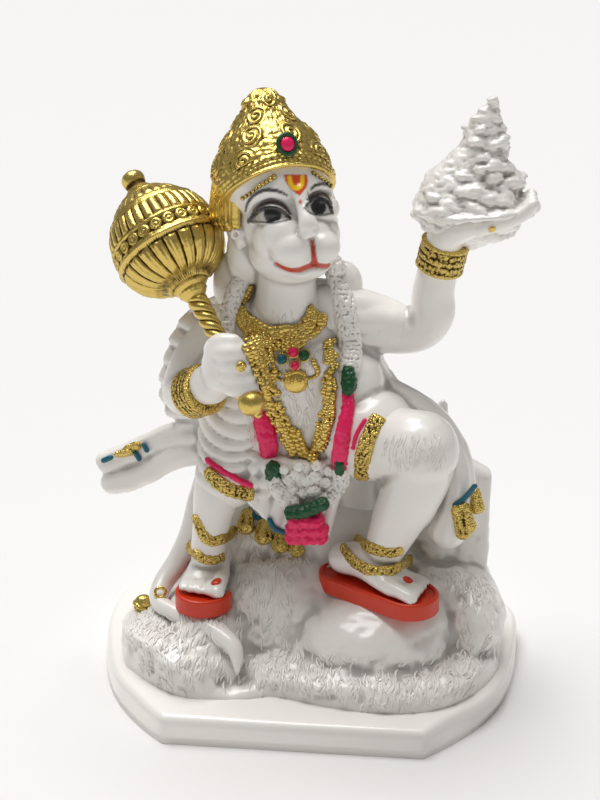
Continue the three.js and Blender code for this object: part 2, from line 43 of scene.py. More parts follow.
# The camera stands where the photograph was taken from, a little above the statue and to its
# left. Everything is laid out in millimetres, and some small ornaments are seated on the casting
# by the place where the photograph shows them.
MM = 0.001
CAMERA_AZIMUTH = math.radians(6)
CAMERA_ELEVATION = math.radians(20)
CAMERA_AIM = np.array([-2.5, 0, 112])
CAMERA_DISTANCE = 520
FOCAL_PIXELS = 1440
PHOTO_WIDTH, PHOTO_HEIGHT = 600, 800
SENSOR = 36

backward = np.array([
    math.sin(CAMERA_AZIMUTH) * math.cos(CAMERA_ELEVATION),
    -math.cos(CAMERA_AZIMUTH) * math.cos(CAMERA_ELEVATION),
    math.sin(CAMERA_ELEVATION),
])
rightward = np.array([math.cos(CAMERA_AZIMUTH), math.sin(CAMERA_AZIMUTH), 0])
upward = np.cross(backward, rightward)
eye = CAMERA_AIM + backward * CAMERA_DISTANCE

camera = bpy.data.objects.new("camera", bpy.data.cameras.new("camera"))
camera.data.lens = FOCAL_PIXELS / PHOTO_HEIGHT * SENSOR
camera.data.sensor_width = SENSOR
camera.matrix_world = Matrix.Translation(Vector(eye * MM)) @ Matrix(
    [rightward, upward, backward]).transposed().to_4x4()
scene.collection.objects.link(camera)
scene.camera = camera


def pixel(places):
    """Where places in millimetres show in the photograph, as columns and rows of its pixels."""
    seen = places - eye
    depth = -(seen @ backward)
    return (PHOTO_WIDTH / 2 + FOCAL_PIXELS * (seen @ rightward) / depth,
            PHOTO_HEIGHT / 2 - FOCAL_PIXELS * (seen @ upward) / depth)


# The plinth: the flat-fronted foot of the casting, its sides swept back in long curves. White
# marble dust and polyester resin, poured, rubbed down by hand on its edge and lacquered.
PLINTH_WIDTH = 162
PLINTH_DEPTH = 110
PLINTH_THICKNESS = 11
PLINTH_FRONT = 89
PLINTH_BACK_CORNER = 20
PLINTH_ROUND = 2.5
PLINTH_WALL_LEVELS = 5
PLINTH_ROUND_STEPS = 5
PLINTH_UNEVENNESS = 0.5


def colour(code):
    """A hex colour as it looks on a screen, turned into the linear light that shaders take."""
    parts = [int(code[i:i + 2], 16) / 255 for i in (1, 3, 5)]
    linear = [c / 12.92 if c <= 0.04045 else ((c + 0.055) / 1.055) ** 2.4 for c in parts]
    return (*linear, 1)


def add(material, kind, inputs, **settings):
    """Adds one node to a material, with its settings, and its inputs as values or links."""
    made = material.node_tree.nodes.new(kind)
    for name, value in settings.items():
        setattr(made, name, value)
    for name, value in inputs.items():
        if isinstance(value, bpy.types.NodeSocket):
            material.node_tree.links.new(value, made.inputs[name])
        else:
            made.inputs[name].default_value = value
    return made


def bare_material(name):
    """A new material with an empty node tree."""
    material = bpy.data.materials.new(name)
    material.use_nodes = True
    material.node_tree.nodes.clear()
    return material


# Cast marble dust in polyester resin under a clear gloss lacquer: a warm white that greys in its
# hollows, partly where the lacquer and years of dust gather and partly as painted shade of the
# hollows, with a soft unevenness from the mould.
RESIN_WHITE = "#f4f1ec"
DUST_AND_SHADE_GREY = "#5f544b"


def cast_resin(name, painted):
    material = bare_material(name)
    place = add(material, "ShaderNodeTexCoord", {}).outputs["Object"]
    hollow = add(material, "ShaderNodeAttribute", {}, attribute_name="hollow").outputs["Fac"]
    cloud = add(material, "ShaderNodeTexNoise", {"Vector": place, "Scale": 90.0, "Detail": 3.0})
    grain = add(material, "ShaderNodeTexNoise", {"Vector": place, "Scale": 1400.0, "Detail": 2.0})
    # painted shade: the hollows are greyed as if in shadow, on top of the real dust that gathers
    # there
    hollow_dust_and_shade = add(material, "ShaderNodeMapRange", {0: hollow, 1: 0.0, 2: 0.45, 3: 0.0, 4: 0.95})
    dust = add(material, "ShaderNodeMath", {0: hollow_dust_and_shade.outputs[0], 1: cloud.outputs["Fac"]},
               operation="MULTIPLY")
    base = add(material, "ShaderNodeMix",
               {0: dust.outputs[0], 6: colour(RESIN_WHITE), 7: colour(DUST_AND_SHADE_GREY)}, data_type="RGBA")
    surface = base.outputs[2]
    if painted:
        paint = add(material, "ShaderNodeAttribute", {}, attribute_name="paint")
        surface = add(material, "ShaderNodeMix",
                      {0: paint.outputs["Alpha"], 6: surface, 7: paint.outputs["Color"]},
                      data_type="RGBA").outputs[2]
    relief = add(material, "ShaderNodeBump",
                 {"Height": grain.outputs["Fac"], "Strength": 0.06, "Distance": 0.0003})
    shader = add(material, "ShaderNodeBsdfPrincipled", {
        "Base Color": surface, "Roughness": 0.3, "IOR": 1.52, "Coat Weight": 0.45,
        "Coat Roughness": 0.16, "Normal": relief.outputs[0]})
    add(material, "ShaderNodeOutputMaterial", {"Surface": shader.outputs[0]})
    return material


glazed_resin = cast_resin("glazed_marble_dust_resin", False)


def piece(name, mesh, material):
    """Finishes a mesh that is laid out in millimetres as a piece of the statue."""
    mesh.name = name
    mesh.transform(Matrix.Scale(MM, 4))
    mesh.polygons.foreach_set("use_smooth", np.ones(len(mesh.polygons), bool))
    mesh.materials.clear()
    mesh.materials.append(material)
    made = bpy.data.objects.new(name, mesh)
    scene.collection.objects.link(made)
    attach(made, "root")
    return made


def as_mesh(form, outward=False):
    """Turns modelled faces into a mesh."""
    if outward:
        bmesh.ops.recalc_face_normals(form, faces=form.faces[:])
    mesh = bpy.data.meshes.new("made")
    form.to_mesh(mesh)
    form.free()
    return mesh


def bend(a, b, c, count):
    """Places along the curve that leaves a for b and arrives at c."""
    share = np.linspace(0, 1, count, endpoint=False)[:, None]
    a, b, c = (np.array(p, float) for p in (a, b, c))
    return (1 - share) ** 2 * a + 2 * share * (1 - share) * b + share ** 2 * c


half_width = PLINTH_WIDTH / 2 - PLINTH_ROUND
half_depth = PLINTH_DEPTH / 2 - PLINTH_ROUND
half_front = PLINTH_FRONT / 2
sweep_start, sweep_end = -half_depth * 0.47, half_depth * 0.45
corner = PLINTH_BACK_CORNER
right_side = np.vstack([
    bend((half_front, -half_depth), (half_width, sweep_start), (half_width, sweep_end), 26),
    bend((half_width, sweep_end), (half_width, 28), (half_width, half_depth - corner), 6),
    bend((half_width, half_depth - corner), (half_width, half_depth),
         (half_width - corner, half_depth), 12),
    [(half_width - corner, half_depth)],
])
outline = np.vstack([right_side, right_side[::-1] * (-1, 1)])
plinth = bmesh.new()
rim = bmesh.ops.create_circle(plinth, segments=len(outline), radius=1, cap_ends=True)["verts"]
for vertex, (x, y) in zip(rim, outline):
    grow = 1 + PLINTH_ROUND / math.hypot(x, y)
    vertex.co = (x * grow, y * grow, 0)
wall = plinth.faces[:]
for level in range(PLINTH_WALL_LEVELS):
    raised = bmesh.ops.extrude_face_region(plinth, geom=wall)["geom"]
    wall = [g for g in raised if isinstance(g, bmesh.types.BMFace)]
    for vertex in {v for f in wall for v in f.verts}:
        wave = noise.noise(vertex.co * 0.035) * PLINTH_UNEVENNESS
        vertex.co += Vector((vertex.co.x, vertex.co.y, 0)).normalized() * wave
        vertex.co.z += (PLINTH_THICKNESS - PLINTH_ROUND) / PLINTH_WALL_LEVELS
for step in range(1, PLINTH_ROUND_STEPS + 1):
    before = math.radians(90 * (step - 1) / PLINTH_ROUND_STEPS)
    after = math.radians(90 * step / PLINTH_ROUND_STEPS)
    bmesh.ops.inset_region(plinth, faces=wall, use_even_offset=True, depth=0,
                           thickness=PLINTH_ROUND * (math.cos(before) - math.cos(after)))
    for vertex in {v for f in wall for v in f.verts}:
        vertex.co.z += PLINTH_ROUND * (math.sin(after) - math.sin(before))
piece("plinth", as_mesh(plinth, outward=True), glazed_resin)


# The ground: a cake of rock modelled in overlapping mounds, with a hewn slab standing behind the
# raised knee and a smooth boulder under the left foot. It is one with the casting.
ROCK_FOOT = [
    (-66, -21), (-55, -32), (-40, -41), (-18, -40), (-8, -37), (12, -42), (30, -44), (48, -41),
    (62, -30), (72, -12), (74, 8), (70, 28), (50, 40), (20, 43), (-20, 43), (-52, 38), (-68, 22),
    (-72, 0),
]
# Each mound is its middle, half width, half depth and top.
MOUNDS = [
    (-46, -12, 30, 32, 29), (-36, 0, 20, 36, 36.5), (24, -16, 52, 30, 24), (27, -13, 30, 24, 43),
    (-5, 10, 36, 34, 50), (-2, 22, 56, 26, 68), (52, 14, 24, 34, 44),
]
MOUND_BLEND = 9
ROCK_VOXEL = 1.1


def spline(rows, shares):
    """A smooth curve through rows of numbers, read at shares of it from 0 to 1."""
    rows = np.asarray(rows, float)
    run = np.clip(np.asarray(shares, float), 0, 1) * (len(rows) - 1)
    first = np.minimum(run.astype(int), len(rows) - 2)
    f = (run - first)[:, None]
    held = np.vstack([2 * rows[0] - rows[1], rows, 2 * rows[-1] - rows[-2]])
    a, b, c, d = (held[first + k] for k in range(4))
    return 0.5 * (2 * b + (c - a) * f + (2 * a - 5 * b + 4 * c - d) * f ** 2
                  + (3 * b - a - 3 * c + d) * f ** 3)


def ball(form, middle, radii, turn=(0, 0, 0), detail=3):
    """An ellipsoid of clay, turned by degrees about X, Y and Z."""
    place = Matrix.LocRotScale(
        Vector(middle), Euler([math.radians(a) for a in turn]), Vector(radii))
    return bmesh.ops.create_icosphere(form, subdivisions=detail, radius=1, matrix=place)["verts"]


def limb(form, rows, side=(1, 0, 0), around=24, along=40, relief=None, cap=0.1):
    """A closed roll of clay with round ends along rows of x, y, z, half width and half depth."""
    made = bmesh.ops.create_uvsphere(form, u_segments=around, v_segments=along, radius=1)["verts"]
    unit = np.array([v.co for v in made])
    turn = np.arctan2(unit[:, 1], unit[:, 0])
    share = np.arccos(np.clip(-unit[:, 2], -1, 1)) / np.pi
    rows = np.array([tuple(r) + (r[3],) if len(r) == 4 else tuple(r) for r in rows], float)
    inner = np.clip((share - cap) / (1 - 2 * cap), 0, 1)
    near_end = np.clip(np.minimum(share, 1 - share) / cap, 0, 1) * np.pi / 2
    here = spline(rows, inner)
    step = spline(rows, inner + 1e-3)[:, :3] - spline(rows, inner - 1e-3)[:, :3]
    tangent = step / np.linalg.norm(step, axis=1)[:, None]
    side = np.asarray(side, float)
    across = side - tangent * (tangent @ side)[:, None]
    across /= np.linalg.norm(across, axis=1)[:, None]
    through = np.cross(tangent, across)
    grow = np.sin(near_end) * (1 + (relief(turn, share) if relief else 0))
    overhang = np.cos(near_end) * here[:, 3:5].min(axis=1) * np.sign(share - 0.5)
    place = (here[:, :3] + tangent * overhang[:, None]
             + across * (np.cos(turn) * grow * here[:, 3])[:, None]
             + through * (np.sin(turn) * grow * here[:, 4])[:, None])
    for vertex, where in zip(made, place):
        vertex.co = where
    return made


def cast(form, voxel, polish):
    """Runs overlapping clay together into one skin and rubs it smooth."""
    rough = bpy.data.objects.new("rough", as_mesh(form))
    scene.collection.objects.link(rough)
    skin = rough.modifiers.new("skin", "REMESH")
    skin.mode = "VOXEL"
    skin.voxel_size = voxel
    if polish:
        rub = rough.modifiers.new("rub", "SMOOTH")
        rub.factor = 0.5
        rub.iterations = polish
    bpy.context.view_layer.update()
    mesh = bpy.data.meshes.new_from_object(
        rough.evaluated_get(bpy.context.evaluated_depsgraph_get()))
    bpy.data.objects.remove(rough)
    return mesh


def places_of(mesh):
    """The places of a mesh's vertices and which way each faces."""
    flat = np.empty(len(mesh.vertices) * 3, np.float32)
    mesh.vertices.foreach_get("co", flat)
    out = np.empty(len(mesh.vertices) * 3, np.float32)
    mesh.vertex_normals.foreach_get("vector", out)
    return flat.reshape(-1, 3).astype(float), out.reshape(-1, 3).astype(float)


def stand_out(mesh, heights):
    """Moves each vertex out along its normal by a height in millimetres."""
    places, facing = places_of(mesh)
    mesh.vertices.foreach_set("co", (places + facing * heights[:, None]).ravel())
    mesh.update()


def cells(places, size, seed=0):
    """Rounded lumps of a size packed without order: 1 on top of a lump and 0 between lumps."""
    scaled = places / size
    cell = np.floor(scaled)
    nearest = np.full(len(places), 9.0)
    for dx in (-1, 0, 1):
        for dy in (-1, 0, 1):
            for dz in (-1, 0, 1):
                other = cell + (dx, dy, dz)
                key = other @ (127.1, 311.7, 74.7) + seed
                jitter = np.stack([np.sin(key * k) * 43758.5453 % 1 for k in (1.0, 1.7, 2.3)], 1)
                away = other + 0.15 + 0.7 * jitter - scaled
                nearest = np.minimum(nearest, (away ** 2).sum(axis=1))
    return np.clip(1 - nearest / 0.7, 0, 1)


def cloudy(places, size, seed=0):
    """A smooth unevenness between about -1 and 1, of a size in millimetres."""
    return np.array([noise.noise(Vector(p)) for p in places / size + seed * 17.3])


def mark_hollows(mesh, reach, depth):
    """Keeps how deep each vertex lies below its surroundings, 1 at that depth in millimetres."""
    ends = np.empty(len(mesh.edges) * 2, np.int32)
    mesh.edges.foreach_get("vertices", ends)
    a, b = ends.reshape(-1, 2).T
    places, facing = places_of(mesh)
    count = len(places)
    joined = np.maximum(np.bincount(a, minlength=count) + np.bincount(b, minlength=count), 1)
    around = places.copy()
    for _ in range(reach):
        around = np.stack([
            np.bincount(a, around[b, k], count) + np.bincount(b, around[a, k], count)
            for k in range(3)], 1) / joined[:, None]
    hollow = ((around - places) * facing).sum(axis=1) / depth
    mesh.attributes.new("hollow", "FLOAT", "POINT").data.foreach_set(
        "value", np.clip(hollow, -1, 1))


def rolled(form, warp, rings, turns):
    """A sheet rolled round and joined to itself: warp(angle, share) gives its places."""
    made = bmesh.ops.create_grid(form, x_segments=turns, y_segments=rings, size=1)["verts"]
    flat = np.array([v.co for v in made])
    place = warp((flat[:, 0] + 1) * np.pi, (flat[:, 1] + 1) / 2)
    for vertex, where in zip(made, place):
        vertex.co = where
    bmesh.ops.remove_doubles(form, verts=made, dist=1e-3)


def mound_height(x, y):
    total = 0
    for middle_x, middle_y, half_x, half_y, top in MOUNDS:
        reach = ((x - middle_x) / half_x) ** 2 + ((y - middle_y) / half_y) ** 2
        dome = np.sqrt(np.maximum(0, 1 - reach ** 1.6))
        total = total + ((top - PLINTH_THICKNESS) * dome) ** MOUND_BLEND
    return PLINTH_THICKNESS + total ** (1 / MOUND_BLEND)


def rock_cake(angle, share):
    foot = spline(ROCK_FOOT + ROCK_FOOT[:1], angle / (2 * np.pi))
    ring = np.interp(share, [0, 0.8, 0.9, 1], [0, 1, 1.01, 0])
    x, y = foot[:, 0] * ring, foot[:, 1] * ring
    top = np.maximum(mound_height(x, y), PLINTH_THICKNESS + 3 * np.minimum(1, (1.01 - ring) * 12))
    return np.stack([x, y, np.where(share <= 0.8, top, PLINTH_THICKNESS * 0.7)], 1)


rock = bmesh.new()
rolled(rock, rock_cake, 110, 150)
limb(rock, [(50, 21, 30, 21, 13), (51, 21, 62, 19.6, 11), (51.6, 21, 72, 19, 9.5),
            (52, 21, 80, 18.4, 8)], around=6, along=16, cap=0.03)
limb(rock, [(45, 18, 82, 9, 6), (48, 19, 96, 4.6, 4), (49, 19.5, 106.5, 1.8, 1.5)],
     around=5, along=8)
ball(rock, (27, -13, 30), (29, 22, 13), turn=(0, -6, 24))
ball(rock, (62, 2, 27), (13, 20, 15))
ball(rock, (12, -20, 24), (14, 10, 9))
rock_mesh = cast(rock, ROCK_VOXEL, 2)
spots, _ = places_of(rock_mesh)
on_top = np.clip((spots[:, 2] - PLINTH_THICKNESS) / 4, 0, 1)
smooth_stone = np.exp(-(((spots[:, 0] - 27) / 30) ** 2 + ((spots[:, 1] + 14) / 23) ** 2) ** 2)
smooth_stone *= spots[:, 2] > 26
hewn = np.clip((spots[:, 2] - 48) / 10, 0, 1)
stand_out(rock_mesh, on_top * (1 - 0.8 * smooth_stone) * (1 - 0.75 * hewn) * (
    1.3 * cloudy(spots, 9, 1) + 0.7 * cloudy(spots, 3.5, 2)))
mark_hollows(rock_mesh, 12, 0.9)
rock_piece = piece("rock_ground", rock_mesh, glazed_resin)


# The body: trunk, limbs, hands, feet and tail, bare and polished. It is the casting itself, in
# marble dust resin, and stands for the CAD solid.
TRUNK = [
    (-3, 7, 88, 24, 16), (-3, 4, 100, 23, 14.5), (-3, 2.5, 113, 21, 14), (-5, 3, 127, 21, 14),
    (-7, 5, 140, 18, 11.5), (-7.5, 5, 151, 11, 10), (-7, 3, 160, 10, 10),
]
RIGHT_LEG = [
    (-15, 4, 98, 15), (-28, -2, 86, 10.5), (-32.5, -5, 76, 9), (-35, -5, 64, 7),
    (-36.6, -4, 54, 6.6), (-37, -3, 46, 6.4),
]
LEFT_THIGH = [(6, 6, 96, 15), (24, -6, 99.5, 14), (41, -18, 102.5, 13)]
LEFT_SHIN = [(42, -17, 102, 13.2), (40, -16, 88, 11.6), (34, -13.5, 72, 9.4), (28.5, -11, 57, 7)]
RIGHT_ARM = [
    (-29, 9, 137, 9.5), (-41, 9, 124, 9), (-46, 6, 112.5, 8.2), (-42, -3, 113.5, 7.6),
    (-35, -14, 120.5, 6.4),
]
LEFT_ARM = [
    (14, 10, 140, 10), (27, 12, 136.5, 9.2), (38.4, 12.5, 136.4, 8.5), (43.8, 11, 142.5, 8.2),
    (44, 9, 151, 7.6), (45.6, 6.5, 161, 7), (47.4, 4.2, 171, 6.6),
]
TAIL = [
    (-20, 14, 90, 5), (-36, 12, 80, 4.8), (-41.5, 10, 68, 4.6), (-45, 7, 54, 4.6),
    (-50, 4, 43, 4.4), (-55, -3, 36, 4), (-54.5, -11, 33, 3.6), (-48, -16.5, 32.5, 3.2),
    (-39.9, -20.5, 31, 3.8), (-30, -26, 29.5, 3.8), (-23, -31, 26, 3.2), (-21.5, -36, 19, 0.9),
]
# Each foot is its middle, the level that it stands on, its heading and the side of its big toe.
FEET = [(-36.3, -1, 41.4, -2, 1), (27.5, -14.5, 48, 59, -1)]


def on_foot(foot, forward, aside, up):
    x, y, level, heading, _ = foot
    turn = math.radians(heading)
    return (x + math.sin(turn) * forward + math.cos(turn) * aside,
            y - math.cos(turn) * forward + math.sin(turn) * aside, level + up)


body = bmesh.new()
limb(body, TRUNK, around=40)
ball(body, (-24, 8, 138), (13, 11, 11))
ball(body, (11, 8, 139), (13, 11, 11))
ball(body, (-15, -4, 129), (10, 8, 7.5))
ball(body, (4, -4, 129), (10, 8, 7.5))
limb(body, RIGHT_LEG)
limb(body, LEFT_THIGH, side=(0, 0, 1))
ball(body, (42, -18, 101.5), (13.4, 13.4, 13))
limb(body, LEFT_SHIN)
ball(body, (39, -9, 80), (10.5, 10, 15), turn=(0, 14, 0))
limb(body, RIGHT_ARM, side=(0, 0, 1))
limb(body, LEFT_ARM, side=(0, 1, 0))
limb(body, TAIL, side=(0, 0, 1), around=18, along=90, cap=0.04)
for foot in FEET:
    turn = math.radians(foot[3])
    aside = (math.cos(turn), math.sin(turn), 0)
    limb(body, [(*on_foot(foot, -15, 0, 5), 6, 6), (*on_foot(foot, -6, 0, 6.4), 6.6, 6.6),
                (*on_foot(foot, 3, 0, 3.6), 8, 4.8), (*on_foot(foot, 10, 0, 1.6), 8.8, 3.4)],
         side=aside)
    for toe in range(5):
        across = foot[4] * (5.9 - 3.4 * toe)
        reach = 18.6 - (0, 0.2, 0.6, 1.3, 2.4)[toe]
        thick = (3.1, 1.95, 1.85, 1.8, 1.7)[toe]
        limb(body, [(*on_foot(foot, 7, across * 0.9, 2.6), thick, thick),
                    (*on_foot(foot, reach - 3.5, across, 2.2), thick * 0.92, thick * 0.85),
                    (*on_foot(foot, reach, across, 1.2), thick * 0.95, thick * 0.8)],
             side=aside, around=12, along=14)
ball(body, (-32.5, -16, 122.6), (7.6, 6.8, 7.4))
# The right fist closes round the mace: a palm, four finger rolls and the thumb over them.
ball(body, (-26, -20.5, 131.5), (8.6, 8, 11), turn=(0, 12, 0))
for finger in range(4):
    share = finger / 3
    limb(body, [(-30 + 3 * share, -22, 137.5 - 12.6 * share, 3.4),
                (-25 + 3.2 * share, -27.4, 138.3 - 12.8 * share, 3.3),
                (-19 + 2.4 * share, -26.4, 138.4 - 12.6 * share, 3.1),
                (-16.4 + 2.2 * share, -21.5, 138.6 - 12.6 * share, 2.9)],
         side=(0, 0, 1), around=14, along=18)
limb(body, [(-31, -20, 137, 3.2), (-27.5, -24.5, 141.2, 2.9), (-22, -26, 142, 2.5)],
     around=12, along=16)
# The left hand lies open under the mountain, its fingers bent back to the viewer's right.
limb(body, [(47, 4.2, 170, 6.8), (49.5, 2, 175, 9, 6.4), (56, 0, 178.5, 11, 5.2),
            (65, -1, 180.6, 10.5, 4)], side=(0, 1, 0))
for finger in range(4):
    aside_y = (finger - 1.5) * 5.3 - 1
    limb(body, [(58, aside_y, 178.6, 3), (67, aside_y, 181.2, 2.9), (73, aside_y, 184, 2.6),
                (76.5, aside_y, 187.5, 2.2)], side=(0, 1, 0), around=12, along=20)
body_mesh = cast(body, 0.98, 3)
mark_hollows(body_mesh, 16, 0.9)
body_piece = piece("body", body_mesh, glazed_resin)
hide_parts("hanuman_statue")


# The cloth: a shawl over both shoulders that fans out over the right arm, flies to the side in a
# two-lobed scarf and falls from the left arm behind the knee, and a loincloth in deep swags. All of
# it is carved in the master and cast with the body.
CAPE = [
    (-6, 13, 148, 24, 6), (-5, 16, 134, 29, 8), (-3, 18, 110, 31, 10), (0, 21, 84, 34, 12),
    (0, 23, 62, 34, 12),
]
SCARF_UPPER = [
    (-30, 4, 97, 7, 5), (-50, 10, 91, 6.6, 4), (-62, 12, 85.5, 5.8, 3.4), (-72, 13.5, 81, 5, 3),
    (-80, 14, 78, 4.4, 2.6),
]
SCARF_LOWER = [
    (-30, 4, 92, 6, 4), (-50, 9, 85, 5.2, 4), (-62, 11.5, 77.4, 5.2, 3.4), (-71, 12.5, 72.4, 5, 3),
    (-78.5, 13, 70, 4, 2.6),
]


def folds(count, depth, twist=0.0, seed=0.0):
    """Folds along a roll: round ridges and sharp valleys, uneven from one to the next."""
    def relief(turn, share):
        wander = 0.5 * np.sin(2 * turn + seed) + 0.35 * np.sin(7 * share + seed)
        wave = np.abs(np.sin((count * turn + twist * share * 6.28) / 2 + wander))
        return depth * (wave ** 0.7 - 0.6)
    return relief


def draped(form, edge_a, edge_b, thickness, pleats, depth, lift=(0, 1, 0), across=90, down=30):
    """A thick sheet hung between two edges, pleated from one edge to the other."""
    made = bmesh.ops.create_grid(form, x_segments=across, y_segments=down, size=1)
    flat = np.array([v.co for v in made["verts"]])
    u, v = (flat[:, 0] + 1) / 2, (flat[:, 1] + 1) / 2
    wave = np.abs(np.sin(np.pi * (pleats * u + 0.25 * np.sin(5 * u + 2 * v)))) ** 0.7 - 0.6
    place = (spline(edge_a, u) * (1 - v)[:, None] + spline(edge_b, u) * v[:, None]
             + np.asarray(lift) * (wave * depth * (1.15 - 0.6 * v))[:, None])
    for vertex, where in zip(made["verts"], place):
        vertex.co = where
    faces = list({f for vertex in made["verts"] for f in vertex.link_faces})
    inner = bmesh.ops.extrude_face_region(form, geom=faces, use_keep_orig=True)["geom"]
    back = Vector(lift).normalized() * -thickness
    bmesh.ops.translate(form, vec=back,
                        verts=[g for g in inner if isinstance(g, bmesh.types.BMVert)])


cloth = bmesh.new()
limb(cloth, CAPE, around=120, along=60, relief=folds(14, 0.09, 0.3, 1.0))
limb(cloth, SCARF_UPPER, side=(0, 0, 1), around=48, relief=folds(5, 0.16, 0.1, 2.0), cap=0.05)
limb(cloth, SCARF_LOWER, side=(0, 0, 1), around=48, relief=folds(5, 0.14, 0.1, 4.0), cap=0.05)
draped(cloth,
       [(-33, 10, 148), (-44, 12, 142), (-50.5, 11, 133), (-54, 10, 123), (-56, 9, 113),
        (-54, 8, 103), (-47, 7, 96)],
       [(-20, 6, 143), (-28, 4, 136), (-33, 0, 129), (-36, -4, 121), (-37, -5, 113),
        (-35, -3, 106), (-30, 1, 98)], 6, 9, 2.6, lift=(-0.4, -0.9, 0))
draped(cloth,
       [(10, 2, 149), (19, 4, 140), (25, 6, 128), (31, 6, 118), (40, 6, 110.5), (48, 8, 106)],
       [(14, -8, 132), (15, -9, 124), (19, -8, 115), (27, -3, 109), (38, 3, 104), (47, 5, 96)],
       9, 7, 1.8, lift=(0, -1, 0))
limb(cloth, [(29, 8, 114, 4.6, 6), (38, 7.5, 108.6, 5.4, 7.5), (47.5, 6, 101.5, 5.6, 9),
             (54.5, 3, 90, 5.6, 10), (55.5, -1, 77, 6, 9.5), (52, -4, 65, 7, 8)],
     around=60, relief=folds(9, 0.14, 0.2, 3.0))
limb(cloth, [(-24, 5, 118, 14, 12), (-24, 3, 104, 16, 14), (-26, 0, 92, 14.6, 13),
             (-28.5, -3, 82.5, 12.4, 12)], around=60, along=60)
limb(cloth, [(14, 3, 118, 16, 14), (16, 0, 106, 18, 15), (24, -6, 102, 17, 17)],
     around=60, side=(0, 1, 0))
limb(cloth, [(8, 9, 141, 12), (18, 10.5, 139.6, 11.4), (27.5, 11.6, 137.4, 10)], side=(0, 0, 1),
     around=72, relief=folds(7, 0.07, 0.4, 2.0), cap=0.08)
draped(cloth,
       [(-24, -11, 95), (-10, -14, 94), (6, -15, 94), (18, -11, 97)],
       [(-24, -13, 80), (-14, -17, 72), (-4, -18, 66), (9, -16, 62)],
       7, 8, 1.8, lift=(0, -1, 0), down=40)
cloth_mesh = cast(cloth, 0.98, 1)
spots, facing = places_of(cloth_mesh)
hip = np.clip(1 - np.abs(spots[:, 0] + 24) / 26, 0, 1) * np.clip((spots[:, 2] - 78) / 6, 0, 1)
hip *= (spots[:, 1] < 2) * np.clip((122 - spots[:, 2]) / 6, 0, 1)
swag = np.hypot(spots[:, 0] + 24, (spots[:, 2] - 124) * 0.9)
swags = np.abs(np.sin(np.pi * swag / 4.2 + 0.5 * np.sin(swag / 3 + spots[:, 0] / 9))) ** 0.7 - 0.6
fallen = np.clip((spots[:, 1] - 12) / 6, 0, 1)
stand_out(cloth_mesh, np.minimum(hip * 3, 1) * swags * 0.75
          + 0.25 * cloudy(spots, 6, 3) + 0.4 * fallen * cloudy(spots * (1, 1, 0.25), 4, 4))
mark_hollows(cloth_mesh, 10, 0.7)
cloth_piece = piece("shawl_and_loincloth", cloth_mesh, glazed_resin)


# The head: a monkey's face with a full round muzzle, turned to the viewer's right. Its features
# are painted on the white casting with a fine brush: brows, lids, eyes, forehead mark and mouth,
# with a painted shadow in the crease above each upper lid.
HEAD_MIDDLE = np.array([-6.5, 1, 175])
HEAD_YAW = math.radians(26)
INK = "#23211f"
IRIS_BLACK = "#17181a"
PUPIL_BLACK = "#08080a"
LID_CREASE_SHADOW = "#43362a"
EYE_WHITE = "#b8b4ae"
MOUTH_RED = "#c33812"
MARK_ORANGE = "#dd4a1c"
MARK_YELLOW = "#ffd41e"
# The painted lines, as they show in the photograph: columns, rows and half the line's width.
BROWS = [
    [(246, 211, 0.5), (248, 203, 1.1), (253, 196, 1.4), (260, 191.5, 1.5), (268, 189.5, 1.6),
     (276, 190.5, 1.4), (282, 192.5, 1.1), (287, 195, 0.6)],
    [(310, 189.5, 0.6), (314, 185.7, 1.2), (320, 183.7, 1.5), (326, 184.7, 1.4),
     (330, 187.5, 1.1), (333, 192, 0.5)],
]
# The crease above each upper lid, where a brown band is painted as its shadow.
LID_SHADES = [
    [(252, 214.5, 1), (257, 207.6, 2), (264, 203.4, 2.6), (271, 201.6, 2.8), (279, 203.2, 2.6),
     (285, 207, 2.2), (290, 213.5, 1.2)],
    [(308, 199.5, 0.6), (311, 197, 1.6), (316, 194, 2.3), (322, 193.6, 2.3), (328, 197, 1.8),
     (332, 203.5, 0.9)],
]
UPPER_LIDS = [
    [(248.5, 221.8, 0.9), (252.5, 217, 1.1), (258, 211.7, 1.2), (265, 208.4, 1.3),
     (272, 207.8, 1.3), (279, 209.5, 1.2), (285, 213.6, 1.1), (290.5, 219, 0.8)],
    [(306, 206, 0.5), (309.5, 202, 1), (314, 199, 1.2), (320, 198.2, 1.2), (326, 200.7, 1.1),
     (330, 206, 1), (332.5, 213.5, 0.8)],
]
LOWER_LIDS = [
    [(248.5, 221.8, 0.9), (258, 222, 0.7), (265, 222.3, 0.7), (273, 222.6, 0.8), (280, 221.8, 0.7),
     (286, 220.4, 0.6), (290.5, 219, 0.5)],
    [(304.5, 208, 0.5), (307, 210.5, 0.6), (312, 213.8, 0.7), (318, 215.3, 0.7), (325, 214.9, 0.7),
     (332.5, 213.5, 0.6)],
]
IRISES = [(272.6, 214.2, 9), (319, 206.8, 7.6)]
MOUTH_LINE = [
    (275, 264.5, 0.7), (281, 268.6, 1.5), (290, 271.6, 2), (299, 271.2, 2.2), (307, 268.2, 2.4),
    (314, 266, 2.6), (321, 266.6, 2.2), (328, 267.2, 1.9), (333.5, 264.5, 1.2),
]
MARK_LOOP = [(289.6, 177.6, 1.9), (291, 184, 2), (294.6, 188, 2.1), (299.4, 187.2, 2),
             (302, 183, 1.9), (302.4, 177, 1.8)]
NOSTRILS = [(303.5, 232.5, 1.2), (315.5, 229.5, 1.0)]
LIP_CLEFT = [(312.5, 239.5, 0.7), (313.5, 247, 1.3), (314.3, 255, 2), (315.5, 263, 3.2)]


def on_head(x, y, z):
    turn = (math.cos(HEAD_YAW), math.sin(HEAD_YAW))
    return (HEAD_MIDDLE[0] + x * turn[0] - y * turn[1],
            HEAD_MIDDLE[1] + x * turn[1] + y * turn[0], HEAD_MIDDLE[2] + z)


